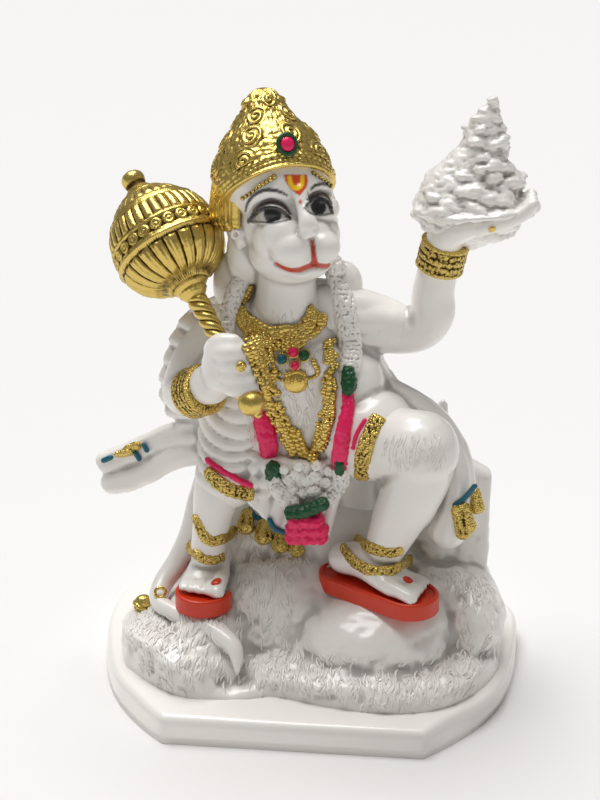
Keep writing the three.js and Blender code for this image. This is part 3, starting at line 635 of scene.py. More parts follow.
def off_line(u, v, line):
    """How far each place in the photograph lies outside a painted line, in pixels."""
    line = spline(line, np.linspace(0, 1, 8 * len(line)))
    nearest = np.full(len(u), 1e3)
    for (u0, v0, w0), (u1, v1, w1) in zip(line[:-1], line[1:]):
        run = np.hypot(u1 - u0, v1 - v0) ** 2 + 1e-9
        share = np.clip(((u - u0) * (u1 - u0) + (v - v0) * (v1 - v0)) / run, 0, 1)
        gap = np.hypot(u - u0 - share * (u1 - u0), v - v0 - share * (v1 - v0))
        nearest = np.minimum(nearest, gap - (w0 + share * (w1 - w0)))
    return nearest


def height_on(line, u):
    """The row of a painted line at each column."""
    line = spline(line, np.linspace(0, 1, 80))
    return np.interp(u, line[:, 0], line[:, 1])


class Painted:
    """The colours brushed on a mesh, kept as its paint attribute, their cover in its alpha."""

    def __init__(self, mesh):
        self.mesh = mesh
        self.colours = np.zeros((len(mesh.vertices), 4))

    def brush(self, code, cover):
        cover = np.clip(cover, 0, 1)[:, None]
        old, alpha = self.colours[:, :3], self.colours[:, 3:]
        kept = alpha * (1 - cover)
        total = cover + kept
        mixed = (np.array(colour(code)[:3]) * cover + old * kept) / np.maximum(total, 1e-6)
        self.colours = np.hstack([mixed, total])

    def dry(self):
        layer = self.mesh.color_attributes.new("paint", "FLOAT_COLOR", "POINT")
        layer.data.foreach_set("color", self.colours.ravel())


head = bmesh.new()
yaw = math.degrees(HEAD_YAW)
ball(head, on_head(0, 1, 4), (17.2, 16, 19), turn=(0, 0, yaw), detail=4)
ball(head, on_head(0, -3.6, -7.5), (15.4, 13.8, 10.8), turn=(0, 0, yaw), detail=4)
ball(head, on_head(0.8, -12, -6.4), (11.4, 9.4, 9), turn=(0, 0, yaw), detail=4)
ball(head, on_head(-4.9, -15.6, -2.9), (7.2, 6.8, 6.4), turn=(0, 0, yaw), detail=4)
ball(head, on_head(6.3, -15.2, -3.6), (6.7, 6.5, 6), turn=(0, 0, yaw), detail=4)
ball(head, on_head(-6.4, -12.4, 0.6), (7.6, 6.8, 7), turn=(0, 0, yaw), detail=4)
ball(head, on_head(5.2, -11.8, -0.4), (6, 6.4, 6), turn=(0, 0, yaw), detail=4)
ball(head, on_head(1, -14.6, -10.2), (8, 6, 4.6), turn=(0, 0, yaw))
limb(head, [(*on_head(-1, -13.4, 16), 2.6, 2.6), (*on_head(-0.8, -16.8, 10.5), 2.4, 2.8),
            (*on_head(-0.5, -20.2, 6.4), 3.2, 3.4), (*on_head(0, -20.6, 4), 3.8, 3)])
ball(head, (-12, 4.5, 191), (19.9, 19.4, 14), detail=4)
for side in (-1, 1):
    ball(head, on_head(side * 8.8, -9.4, 8), (6.6, 5.4, 5), turn=(0, 0, yaw + side * 20))
    ball(head, on_head(side * 8.4, -8.2, -1.5), (7.2, 7.4, 8.4), turn=(0, 0, yaw))
    ball(head, on_head(side * 16.8, 3, -1), (2.6, 3.6, 6), turn=(0, 0, yaw))
    ball(head, on_head(side * 11.6, 10, -10), (8, 7, 12), turn=(0, 0, yaw))
    ball(head, on_head(side * 15.4, 11, 4), (4.6, 5, 12), turn=(0, 0, yaw))
limb(head, [(*on_head(-19.6 + 1.5 * math.cos(a), -0.8, -0.4 + 1.5 * math.sin(a)), 0.8)
            for a in np.linspace(0, 2 * np.pi, 13)], side=(0, 1, 0), around=10, cap=0.02)
limb(head, [(-8, 4, 146, 11.5), (-7.5, 3, 156, 10.4), (-7, 2, 165, 11)])
ball(head, (-10, 12, 160), (13, 9, 17))
ball(head, (-27, 9, 152), (8, 7, 13))
ball(head, (12, 12, 152), (7, 6, 9))
head_mesh = cast(head, 0.55, 15)
spots, facing = places_of(head_mesh)
u, v = pixel(spots)
front = np.clip(-(facing @ -backward) * 4 - 0.2, 0, 1) * (spots[:, 1] < 4)
lids = np.zeros(len(spots))
for upper, lower, shade in zip(UPPER_LIDS, LOWER_LIDS, LID_SHADES):
    inside = (u > upper[0][0]) & (u < upper[-1][0])
    top, bottom = height_on(upper, u), height_on(lower, u)
    over = inside * np.clip((top - v) / 1.6, 0, 1) * np.clip((v - height_on(shade, u)) / 2, 0, 1)
    lids += 0.55 * over
    lids -= 0.4 * np.exp(-(off_line(u, v, shade) / 1.5).clip(0) ** 2)
    lids -= 0.35 * inside * np.clip((v - top) / 1.5, 0, 1) * np.clip((bottom - v) / 1.5, 0, 1)
    lids += 0.2 * np.exp(-(off_line(u, v + 1.5, lower) / 1.2).clip(0) ** 2)
for brow in BROWS:
    lids += 0.45 * np.exp(-(off_line(u, v, brow) / 3.2).clip(0) ** 2)
lids -= 0.8 * np.exp(-(off_line(u, v, MOUTH_LINE) / 1.4).clip(0) ** 2)
lids -= 0.7 * np.exp(-(off_line(u, v, LIP_CLEFT) / 1.6).clip(0) ** 2)
for column, row, radius in NOSTRILS:
    lids -= 0.6 * np.exp(-(np.hypot(u - column, v - row) / (2 * radius)) ** 2)
stand_out(head_mesh, lids * front)
mark_hollows(head_mesh, 24, 0.8)
face = Painted(head_mesh)
for upper, lower, iris, shade, brow in zip(UPPER_LIDS, LOWER_LIDS, IRISES, LID_SHADES, BROWS):
    inside = (u > upper[0][0]) & (u < upper[-1][0]) & (v > height_on(upper, u))
    inside = inside & (v < height_on(lower, u))
    face.brush(EYE_WHITE, front * inside)
    gap = np.hypot(u - iris[0], v - iris[1]) - iris[2]
    face.brush(IRIS_BLACK, front * inside * (0.7 - gap))
    face.brush(PUPIL_BLACK, front * inside * (0.5 - gap - 3))
    # painted shadow along the lid crease
    face.brush(LID_CREASE_SHADOW, front * (0.9 - off_line(u, v, shade)))
    face.brush(INK, front * (1.1 - off_line(u, v, upper)))
    face.brush(INK, front * 0.9 * (0.8 - off_line(u, v, lower)))
    face.brush(INK, front * 0.95 * (0.9 - off_line(u, v, brow)))
mark_side = np.interp(v, [174, 181, 188, 193, 196], [11.6, 11.4, 8.2, 3.4, 0])
mark = np.minimum(mark_side - np.abs(u - 295.5 - (v - 175) * 0.18), v - 174.5)
face.brush(MARK_ORANGE, front * (mark + 0.5) * (v < 197))
face.brush(MARK_ORANGE, front * (1.6 - np.hypot((u - 300.3) / 2.2, (v - 202) / 3.4) * 1.6))
face.brush(MARK_YELLOW, front * (0.8 - off_line(u, v, MARK_LOOP)))
face.brush(MOUTH_RED, front * (0.9 - off_line(u, v, MOUTH_LINE)))
face.brush(MOUTH_RED, front * (0.9 - off_line(u, v, LIP_CLEFT)))
face.dry()
painted_resin = cast_resin("painted_marble_dust_resin", True)
head_piece = piece("head", head_mesh, painted_resin)


# Where small things are seated: on the body, the cloth, the head and the rock.
ground_forms = bmesh.new()
for carrier in (body_piece, cloth_piece, head_piece, rock_piece):
    ground_forms.from_mesh(carrier.data)
bmesh.ops.scale(ground_forms, vec=(1 / MM, 1 / MM, 1 / MM), verts=ground_forms.verts)
casting = BVHTree.FromBMesh(ground_forms)
ground_forms.free()


def seat(u, v, lift=0.0):
    """The place on the casting that shows at a pixel of the photograph, and its way out."""
    along = Vector(-backward + rightward * (u - PHOTO_WIDTH / 2) / FOCAL_PIXELS
                   + upward * (PHOTO_HEIGHT / 2 - v) / FOCAL_PIXELS)
    place, out, _, _ = casting.ray_cast(Vector(eye), along)
    if place is None:
        place, out, _, _ = casting.find_nearest(Vector(eye) + along * CAMERA_DISTANCE)
    return np.array(place) + np.array(out) * lift, np.array(out)


def level_with(u, v, y):
    """The place that shows at a pixel of the photograph and lies at a depth in millimetres."""
    along = (-backward + rightward * (u - PHOTO_WIDTH / 2) / FOCAL_PIXELS
             + upward * (PHOTO_HEIGHT / 2 - v) / FOCAL_PIXELS)
    return eye + along * (y - eye[1]) / along[1]


def seated(line, lift=0.0, count=0):
    """Places on the casting along a line in the photograph, evenly spaced where counted."""
    line = np.array(line, float)
    if count:
        dense = spline(line, np.linspace(0, 1, 200))
        run = np.r_[0, np.cumsum(np.hypot(*np.diff(dense[:, :2], axis=0).T))]
        line = np.stack([np.interp(np.linspace(0, run[-1], count), run, dense[:, k])
                         for k in range(dense.shape[1])], 1)
    return [tuple(seat(p[0], p[1], lift)[0]) + tuple(p[2:]) for p in line]


# The sandals: thick wooden soles with a raised rim, one piece with the feet, brushed with glossy
# orange red enamel. The big toenails are dabbed with the same paint.
SANDAL_HALF_WIDTH = 10.6
SANDAL_HALF_LENGTH = 24.5


# Brushed enamel: a thick glossy coat with faint brush marks, darkened a little in its hollows by
# painted shade.
def enamel(name, code, dark):
    material = bare_material(name)
    place = add(material, "ShaderNodeTexCoord", {}).outputs["Object"]
    hollow = add(material, "ShaderNodeAttribute", {}, attribute_name="hollow").outputs["Fac"]
    brushed = add(material, "ShaderNodeTexNoise",
                  {"Vector": place, "Scale": 500.0, "Detail": 4.0, "Roughness": 0.6})
    # painted shade: the hollows take the darker colour as if in shadow
    shade = add(material, "ShaderNodeMath", {0: hollow, 1: brushed.outputs["Fac"]},
                operation="MULTIPLY_ADD")
    shade.inputs[2].default_value = 0.0
    base = add(material, "ShaderNodeMix",
               {0: shade.outputs[0], 6: colour(code), 7: colour(dark)}, data_type="RGBA")
    relief = add(material, "ShaderNodeBump",
                 {"Height": brushed.outputs["Fac"], "Strength": 0.25, "Distance": 0.0004})
    shader = add(material, "ShaderNodeBsdfPrincipled", {
        "Base Color": base.outputs[2], "Roughness": 0.36, "IOR": 1.46, "Coat Weight": 0.12,
        "Coat Roughness": 0.12, "Normal": relief.outputs[0]})
    add(material, "ShaderNodeOutputMaterial", {"Surface": shader.outputs[0]})
    return material


orange_enamel = enamel("orange_red_enamel", "#d4350c", "#7a1c08")
# The sole's section: how far in from its edge, and how high, from the middle of its underside
# round the raised rim to the middle of the hollow that the foot stands in.
SOLE_SECTION = [(10.6, -6.2), (5, -6.2), (0.4, -6.2), (0, -5.8), (0, -3), (0, -0.8), (0.3, -0.15),
                (0.9, 0.1), (1.5, -0.1), (1.8, -0.5), (2.1, -0.9), (5, -1), (10.6, -1)]


def sole(foot):
    def warp(angle, share):
        inset, height = spline(SOLE_SECTION, share).T
        wide = np.maximum(SANDAL_HALF_WIDTH - inset, 0)
        forward = np.sin(angle) * wide
        ahead = np.where(np.sin(angle) >= 0, 1.0, -1.0)
        aside = np.cos(angle) * wide * np.where(ahead > 0, 1.0, 0.9)
        straight = SANDAL_HALF_LENGTH - SANDAL_HALF_WIDTH
        return np.stack(on_foot(foot, forward + ahead * straight, aside, height), 1)
    return warp


sandals = bmesh.new()
for foot in FEET:
    rolled(sandals, sole(foot), 48, 96)
for u, v in ((216, 581.5), (408, 580)):
    place, out = seat(u, v, -0.1)
    turned_up = Vector(out).to_track_quat("Z", "Y")
    bmesh.ops.create_icosphere(sandals, subdivisions=3, radius=1, matrix=Matrix.LocRotScale(
        Vector(place), turned_up, Vector((1.9, 2.1, 0.7))))
piece("sandals", as_mesh(sandals, outward=True), orange_enamel)


# Gold paint over the casting: metal flakes in lacquer, bright on the high carving and left thin
# and brown in the hollows, where the brush didn't reach, and darkened further there by painted
# shade. On chains and bands it lies over fine granules of a size in metres, which catch the light
# one by one, with painted shade between them.
def gilding(name, granule):
    material = bare_material(name)
    place = add(material, "ShaderNodeTexCoord", {}).outputs["Object"]
    hollow = add(material, "ShaderNodeAttribute", {}, attribute_name="hollow").outputs["Fac"]
    flakes = add(material, "ShaderNodeTexNoise", {"Vector": place, "Scale": 2600.0, "Detail": 2.0})
    worn = add(material, "ShaderNodeTexNoise", {"Vector": place, "Scale": 300.0, "Detail": 4.0})
    patchy = add(material, "ShaderNodeMath", {0: worn.outputs["Fac"], 1: 0.7, 2: -0.35},
                 operation="MULTIPLY_ADD")
    # painted shade: the hollows add to the real wear, so the gold browns where shade falls
    bare = add(material, "ShaderNodeMath", {0: hollow, 1: patchy.outputs[0]}, operation="ADD")
    relief = add(material, "ShaderNodeBump",
                 {"Height": flakes.outputs["Fac"], "Strength": 0.3, "Distance": 0.00025})
    if granule:
        grains = add(material, "ShaderNodeTexVoronoi", {"Vector": place, "Scale": 1 / granule})
        # painted shade in the gaps between the granules
        between = add(material, "ShaderNodeMapRange",
                      {0: grains.outputs["Distance"], 1: 0.3, 2: 0.75, 3: 0.0, 4: 0.55})
        bare = add(material, "ShaderNodeMath", {0: bare.outputs[0], 1: between.outputs[0]},
                   operation="ADD")
        relief = add(material, "ShaderNodeBump",
                     {"Height": grains.outputs["Distance"], "Strength": 0.8,
                      "Distance": granule * 0.7, "Normal": relief.outputs[0]}, invert=True)
    deep = add(material, "ShaderNodeMapRange", {0: bare.outputs[0], 1: 0.0, 2: 0.6, 3: 0.0, 4: 1.0})
    gold = add(material, "ShaderNodeMix",
               {0: deep.outputs[0], 6: colour("#dcc06a"), 7: colour("#46320f")}, data_type="RGBA")
    rough = add(material, "ShaderNodeMapRange",
                {0: deep.outputs[0], 1: 0.0, 2: 1.0, 3: 0.27, 4: 0.6})
    shader = add(material, "ShaderNodeBsdfPrincipled", {
        "Base Color": gold.outputs[2], "Metallic": 0.88, "Roughness": rough.outputs[0],
        "Normal": relief.outputs[0]})
    add(material, "ShaderNodeOutputMaterial", {"Surface": shader.outputs[0]})
    return material


gold_paint = gilding("gold_paint", 0)
granular_gold = gilding("granular_gold_paint", 0.0008)


# The mace: a fluted bulb with a knob, bands of ring flowers and gadroons, a beaded neck and a
# twisted shaft that ends in a round pommel. Cast with the fist and painted gold.
MACE_POMMEL = np.array([-16.5, -27, 121.5])
MACE_KNOB = np.array([-66.5, 20, 189.5])
MACE_HEAD = [
    (0.46, 4), (0.472, 5.4), (0.485, 6.2), (0.5, 7.4), (0.52, 11), (0.545, 14.6), (0.575, 17.2),
    (0.61, 18.8), (0.645, 19.6), (0.68, 19.8), (0.7, 19.6), (0.72, 19.2), (0.755, 18.4),
    (0.79, 16.8), (0.825, 14.2), (0.86, 11), (0.885, 8.2), (0.9, 6.4), (0.915, 4.9), (0.927, 3.9),
    (0.938, 3.7), (0.95, 4.1), (0.965, 4.3), (0.98, 3.9), (0.992, 2.6), (0.999, 0.8), (1, 0),
]
RING_FLOWERS = 25
LOWER_PETALS = 22
UPPER_FLUTES = 34


def turned(foot, tip, profile, rings, turns, relief):
    """A form turned about the line from foot to tip. The profile is shares of the line and radii,
    and relief(angle, share, radius) stands out square to it."""
    profile = np.array(profile, float)
    foot, tip = np.array(foot, float), np.array(tip, float)
    length = np.linalg.norm(tip - foot)
    axis = (tip - foot) / length
    side = np.cross(axis, (0, 1, 0) if abs(axis[1]) < 0.9 else (1, 0, 0))
    side /= np.linalg.norm(side)
    other = np.cross(axis, side)
    dense = spline(profile, np.linspace(0, 1, 40 * len(profile)))
    run = np.r_[0, np.cumsum(np.hypot(np.diff(dense[:, 0]) * length, np.diff(dense[:, 1])))]
    run /= run[-1]

    def warp(angle, share):
        level = np.interp(share, run, dense[:, 0])
        radius = np.maximum(np.interp(share, run, dense[:, 1]), 0)
        ahead, behind = share + 2e-3, share - 2e-3
        rise = np.interp(ahead, run, dense[:, 0]) - np.interp(behind, run, dense[:, 0])
        widen = np.interp(ahead, run, dense[:, 1]) - np.interp(behind, run, dense[:, 1])
        slope = np.hypot(rise * length, widen) + 1e-9
        height = relief(angle, level, radius) * np.minimum(1, radius)
        radius = radius + height * rise * length / slope
        level = level * length - height * widen / slope
        around = np.cos(angle)[:, None] * side + np.sin(angle)[:, None] * other
        return foot + axis * level[:, None] + around * radius[:, None]
    form = bmesh.new()
    rolled(form, warp, rings, turns)
    return form


def band(level, low, high, soft=0.004):
    """1 where a level lies between low and high, fading softly at both."""
    return np.clip((level - low) / soft, 0, 1) * np.clip((high - level) / soft, 0, 1)


def cord(level, middle, half):
    return np.exp(-((level - middle) / half) ** 2)


def mace_relief(angle, level, radius):
    length = np.linalg.norm(MACE_KNOB - MACE_POMMEL)
    petals = np.abs(np.cos(angle * LOWER_PETALS / 2)) ** 0.6
    petal_rib = np.abs(np.cos(angle * LOWER_PETALS * 1.5)) ** 0.7
    flutes = np.abs(np.cos(angle * UPPER_FLUTES / 2)) ** 0.6
    scallops = np.abs(np.cos(angle * 12)) ** 0.6
    around = (angle * RING_FLOWERS / (2 * np.pi)) % 1 - 0.5
    off = np.hypot(around * 2 * np.pi * 19.6 / RING_FLOWERS, (level - 0.676) * length)
    flower = 0.75 * np.exp(-((off - 1.55) / 0.42) ** 2) + 0.9 * np.exp(-(off / 0.62) ** 2)
    beads = np.abs(np.sin(angle * 30)) ** 0.8
    fine = np.abs(np.sin(angle * 62)) ** 0.8
    return (band(level, 0.512, 0.622, 0.012) * (1.1 * petals + 0.45 * petal_rib - 0.7)
            + 1.25 * cord(level, 0.638, 0.0062) + 0.5 * cord(level, 0.651, 0.003) * fine
            + 0.5 * cord(level, 0.627, 0.004) * fine
            + band(level, 0.654, 0.699) * flower - 0.25 * band(level, 0.655, 0.698)
            + 0.55 * cord(level, 0.704, 0.0035) * (0.5 + fine)
            + band(level, 0.712, 0.792, 0.008) * (0.95 * flutes - 0.45)
            + 0.5 * cord(level, 0.8, 0.0035) * (0.5 + fine) + 0.35 * cord(level, 0.812, 0.003)
            + band(level, 0.822, 0.872, 0.01) * (0.8 * scallops - 0.3)
            + 0.4 * cord(level, 0.88, 0.004)
            + 0.7 * cord(level, 0.497, 0.006) * beads + 0.45 * cord(level, 0.482, 0.003) * beads)


mace_head = as_mesh(turned(MACE_POMMEL, MACE_KNOB, MACE_HEAD, 150, 280, mace_relief), outward=True)
spots, _ = places_of(mace_head)
stand_out(mace_head, 0.12 * cloudy(spots, 1.6, 5))
mark_hollows(mace_head, 14, 0.35)
piece("mace_head", mace_head, gold_paint)
MACE_SHAFT = [
    (0, 0), (0.002, 1.6), (0.012, 3.4), (0.03, 4.6), (0.048, 4.9), (0.066, 4.5), (0.084, 3.2),
    (0.094, 2.5), (0.12, 2.5), (0.3, 2.8), (0.42, 3.3), (0.435, 3.6), (0.45, 4.6), (0.47, 5),
    (0.485, 4), (0.486, 0),
]


def shaft_relief(angle, level, radius):
    twist = np.abs(np.sin((angle + level * 52) * 1.5)) ** 0.6
    return (band(level, 0.12, 0.432, 0.01) * (1.1 * twist - 0.5)
            + 0.4 * cord(level, 0.46, 0.006) * np.abs(np.sin(angle * 10)))


mace_shaft = as_mesh(turned(MACE_POMMEL, MACE_KNOB, MACE_SHAFT, 200, 60, shaft_relief),
                     outward=True)
mark_hollows(mace_shaft, 10, 0.3)
piece("mace_shaft", mace_shaft, gold_paint)
pommel = bmesh.new()
ball(pommel, (-16, -28.8, 120.8), (4.8, 4.8, 4.6), detail=4)
ball(pommel, (-13.4, -31.2, 117.4), (1.3, 1.3, 1.3))
pommel_mesh = cast(pommel, 0.4, 2)
piece("mace_pommel", pommel_mesh, gold_paint)


# The crown: a tapering cap that leans back, arched over the brow, carved all over with scroll
# flowers and granules above a pearled rim, with a ribbed guard in front of each ear. Painted gold.
CROWN_FOOT = np.array([-11.5, 3.5, 183])
CROWN_TIP = np.array([-17, 12, 221.5])
CROWN_ARCH = 0.28
CROWN_PROFILE = [
    (0, 18.8), (0.11, 20.9), (0.2, 21.3), (0.3, 20.4), (0.42, 18.8), (0.54, 16.2), (0.64, 13.2),
    (0.75, 9.6), (0.82, 7.8), (0.89, 6.4), (0.96, 4.2), (0.99, 2.2), (1, 0),
]
# Rows of scroll flowers: share of the height, how many, first angle from the brow, and size.
SCROLLS = [(0.37, 8, 0.5, 5.2), (0.58, 7, 0.25, 4.4), (0.75, 5, 0.0, 3.6), (0.88, 4, 0.5, 2.6)]


def crown_warp(angle, share):
    length = np.linalg.norm(CROWN_TIP - CROWN_FOOT)
    axis = (CROWN_TIP - CROWN_FOOT) / length
    side = np.cross((0, 1, 0), axis)
    side /= np.linalg.norm(side)
    back = np.cross(axis, side)
    facing = angle + np.pi / 2 - HEAD_YAW
    arch = CROWN_ARCH * np.maximum(0, np.cos(facing)) ** 1.1
    closed = np.interp(share, [0, 0.06, 1], [0, 1, 1])
    level = np.clip((share - 0.06) / 0.94, 0, 1)
    raised = level + (1 - level) * arch
    profile = spline(CROWN_PROFILE, np.linspace(0, 1, 300))
    radius = np.interp(raised, profile[:, 0], profile[:, 1]) * closed
    height = np.zeros(len(angle))
    covered = np.zeros(len(angle))
    for row, count, first, size in SCROLLS:
        around = ((facing / (2 * np.pi) * count + first) % 1 - 0.5) * 2 * np.pi / count * radius
        up = (raised - row) * length
        off = np.hypot(around, up)
        spiral = np.cos(2 * np.pi * off / 1.75 + np.arctan2(up, around))
        inside = np.clip((size - off) / 0.8, 0, 1)
        shape = 0.9 * np.clip(1 - (off / size) ** 2, 0, 1) ** 0.5 + 0.42 * spiral
        height = np.maximum(height, inside * shape)
        covered = np.maximum(covered, inside)
    grid = np.stack([facing * 19, raised * length, np.zeros(len(angle))], 1)
    height += (1 - covered) * (0.65 * cells(grid, 1.9, 3) - 0.25)
    from_rim = (raised - arch) * length
    rim = from_rim < 5.6
    pearls = 0.55 * np.abs(np.sin(facing * 36)) ** 0.8
    petals = 0.75 * np.abs(np.sin(facing * 26 + 0.8)) ** 0.8
    trim = (0.75 * cord(from_rim, 0.7, 0.55) + pearls * cord(from_rim, 2.3, 0.7)
            + petals * cord(from_rim, 4.2, 0.9))
    height = np.where(rim, trim, height) * closed * np.minimum(1, radius / 2)
    radius = radius + height
    return (CROWN_FOOT + axis * (raised * length)[:, None]
            + side * (np.cos(angle) * radius)[:, None] + back * (np.sin(angle) * radius)[:, None])


crown = bmesh.new()
rolled(crown, crown_warp, 150, 260)
crown_mesh = as_mesh(crown, outward=True)
spots, _ = places_of(crown_mesh)
stand_out(crown_mesh, 0.12 * cloudy(spots, 1.5, 6))
mark_hollows(crown_mesh, 14, 0.45)
piece("crown", crown_mesh, gold_paint)
guards = bmesh.new()
forward = (math.sin(HEAD_YAW), -math.cos(HEAD_YAW), 0)
for feather in range(7):
    y = -1 - 1.1 * feather
    seen = [(217 + 3.2 * feather, 172 + 4.4 * feather, 1), (213.5 + 3.8 * feather, 203, 1.25),
            (215 + 3.5 * feather, 218 + feather, 1.2), (223 + 2 * feather, 229, 0.8)]
    limb(guards, [(*level_with(u, v, y), half, half * 1.3) for u, v, half in seen], side=forward,
         around=14, along=26)
    lean = feather * 1.5
    rows = [(17, 18.4 - lean, 22 - 1.5 * lean, 1.2), (19.2, 18.4 - lean, 13 - 0.9 * lean, 1.9),
            (19.4 - 0.1 * lean, 15.6 - 0.9 * lean, 4 - 0.3 * lean, 1.8),
            (17 - 0.1 * lean, 12.6 - 0.7 * lean, -2.4 + 0.3 * lean, 1)]
    limb(guards, [(*on_head(x, y, z), half, half * 1.2) for x, y, z, half in rows], side=forward,
         around=14, along=26)
guards_mesh = cast(guards, 0.5, 1)
spots, _ = places_of(guards_mesh)
low = np.clip((181 - spots[:, 2]) / 4, 0, 1)
stand_out(guards_mesh, low * (0.8 * cells(spots, 1.8, 9) - 0.3))
mark_hollows(guards_mesh, 10, 0.35)
piece("crown_guards", guards_mesh, gold_paint)


# Gold beads and granules: pearls of plaster that stand on the casting, each a short turn of the
# modeller's needle, run together by the gold paint over them.
def beads(form, places, radius, uneven=0.12, detail=2):
    row = bmesh.new()
    for index, place in enumerate(places):
        size = radius * (1 + uneven * math.sin(index * 12.9898 + radius * 78.2))
        shift = Vector((math.sin(index * 7.1), math.sin(index * 3.7),
                        math.sin(index * 5.3))) * uneven * radius
        bmesh.ops.create_icosphere(row, subdivisions=detail, radius=size,
                                   matrix=Matrix.Translation(Vector(place[:3]) + shift))
    form.from_mesh(as_mesh(row))


gold_beads = bmesh.new()
beads(gold_beads, seated([(243, 198), (252, 192), (262, 185), (274, 177)], 0.3, 10), 0.85)
beads(gold_beads, seated([(313, 173), (319, 177), (326, 182), (333, 188)], 0.3, 8), 0.85)
# The collar: a crescent of granules under a row of larger balls, with a chain up to the ear.
collar_top = [(242.4, 309), (249, 316), (257, 322.6), (268, 328), (278.6, 330), (289.4, 329.4),
              (298.7, 325.3), (305.4, 317.3), (309.5, 308)]
collar_low = [(237, 318.6), (245, 332), (254.5, 342.8), (268, 348), (282.7, 350.3), (297.4, 346.8),
              (310.8, 337.4), (321.5, 326.7), (325.6, 317.3)]
for row in range(6):
    share = row / 5
    line = [(a[0] + (b[0] - a[0]) * share, a[1] + (b[1] - a[1]) * share)
            for a, b in zip(collar_top, collar_low)]
    beads(gold_beads, seated(line, 0.7, 30 + 4 * row if row else 20), 1.5 if row == 0 else 0.9,
          0.3)
beads(gold_beads, seated([(240, 316), (240, 304), (244, 295), (249.5, 286)], 0.6, 12), 1.1, 0.3)
beads(gold_beads, seated([(244, 304), (246, 297), (251, 289)], 0.8, 7), 0.8, 0.3)
# The long rope of beads down the chest, doubled, with a cluster of drops where it meets.
left_rope = [(250, 347), (257, 364), (264, 380), (269, 396), (276, 412.6), (282.7, 428.6),
             (290.7, 442), (302.8, 452.8), (310.8, 459.5)]
right_rope = [(310.8, 459.5), (319, 450), (325.6, 436.6), (328.3, 420.6), (329.6, 404.5),
              (330.2, 388.4), (331, 372), (331, 356), (328.3, 342.8)]
beads(gold_beads, seated(left_rope, 0.8, 46), 1.3, 0.25)
beads(gold_beads, seated([(u - 5, v + 1) for u, v in left_rope[:6]], 0.6, 26), 1.15, 0.3)
beads(gold_beads, seated(right_rope, 0.8, 40), 1.25, 0.25)
beads(gold_beads, seated([(u + 4, v - 1) for u, v in right_rope[1:5]], 0.5, 14), 1.0, 0.3)
scatter = np.random.default_rng(11)
for left, right, count in (
        (collar_top, collar_low, 230),
        ([(246, 345), (252, 365), (257, 385), (266, 405), (276, 425), (290, 445), (308, 462)],
         [(266, 345), (274, 362), (279, 385), (284, 405), (292, 425), (303, 440), (312, 455)], 210),
        ([(324, 345), (324, 370), (324, 395), (321, 420), (316, 440), (308, 455)],
         [(334, 340), (336, 370), (336, 395), (333, 420), (326, 445), (312, 463)], 120)):
    for _ in range(count):
        along, across = scatter.uniform(size=2)
        one, other = spline(left, [along])[0], spline(right, [along])[0]
        beads(gold_beads, seated([tuple(one + (other - one) * across)], 1),
              scatter.uniform(0.6, 1.3), 0)
for start, end in (((287, 430), (295, 449)), ((293, 428), (301, 451)), ((299, 431), (306, 454)),
                   ((305, 447), (311, 461)), ((321, 428), (315, 452)), ((327, 430), (318, 448)),
                   ((283, 437), (293, 452)), ((311, 452), (316, 463))):
    beads(gold_beads, seated([start, end], 1.3, 6), 1.35, 0.15)
# The looser chains between the collar and the fist, and the open links beside the pendant.
for line in ([(246, 342), (252, 352), (254, 364), (262, 372)], [(256, 346), (264, 352), (270, 360)],
             [(262, 352), (266, 364), (272, 374), (282, 380)], [(262, 362), (268, 372), (276, 378)],
             [(314, 362), (318, 374), (306, 378)], [(270, 352), (274, 366), (280, 374)]):
    beads(gold_beads, seated(line, 0.5, 11), 0.9, 0.3)
backing = bmesh.new()
for line in ([(240, 313), (246, 325), (256, 333), (268, 338), (282, 340), (297, 337), (308, 330),
              (317, 317)],):
    limb(backing, [(*p, 3.6, 1.1) for p in seated(line, -0.2)], side=(0, 0, 1), around=24, along=60)
backing_mesh = cast(backing, 0.45, 2)
spots, _ = places_of(backing_mesh)
stand_out(backing_mesh, 0.7 * cells(spots, 1.1, 3) - 0.3)
mark_hollows(backing_mesh, 6, 0.35)
piece("collar", backing_mesh, granular_gold)
gold_beads_mesh = as_mesh(gold_beads)
spots, _ = places_of(gold_beads_mesh)
# painted shade: each bead darkens where it sits close to the casting, as if in the shadow under it
buried = np.array([casting.find_nearest(Vector(p))[3] for p in spots])
gold_beads_mesh.attributes.new("hollow", "FLOAT", "POINT").data.foreach_set(
    "value", np.clip(0.75 - buried * 0.75, -0.5, 1))
piece("gold_beads", gold_beads_mesh, gold_paint)


# Jewels: round cabochons in rings, dabbed with enamel over the gold: one on the crown, four above
# the half-round pendant on the chest.
def jewel(form, place, out, radius, height):
    way = Vector(out).to_track_quat("Z", "Y")
    bmesh.ops.create_icosphere(form, subdivisions=3, radius=1, matrix=Matrix.LocRotScale(
        Vector(place), way, Vector((radius, radius, height))))


def hoop(form, place, out, radius, thick, tall=1.0):
    way = Vector(out).to_track_quat("Z", "Y").to_matrix()
    rows = []
    for step in range(17):
        angle = 2 * math.pi * step / 16
        spot = Vector(place) + way @ Vector((math.cos(angle) * radius,
                                             math.sin(angle) * radius * tall, 0))
        rows.append((*spot, thick))
    limb(form, rows, side=tuple(way @ Vector((0, 0, 1))), around=8, along=40, cap=0.02)


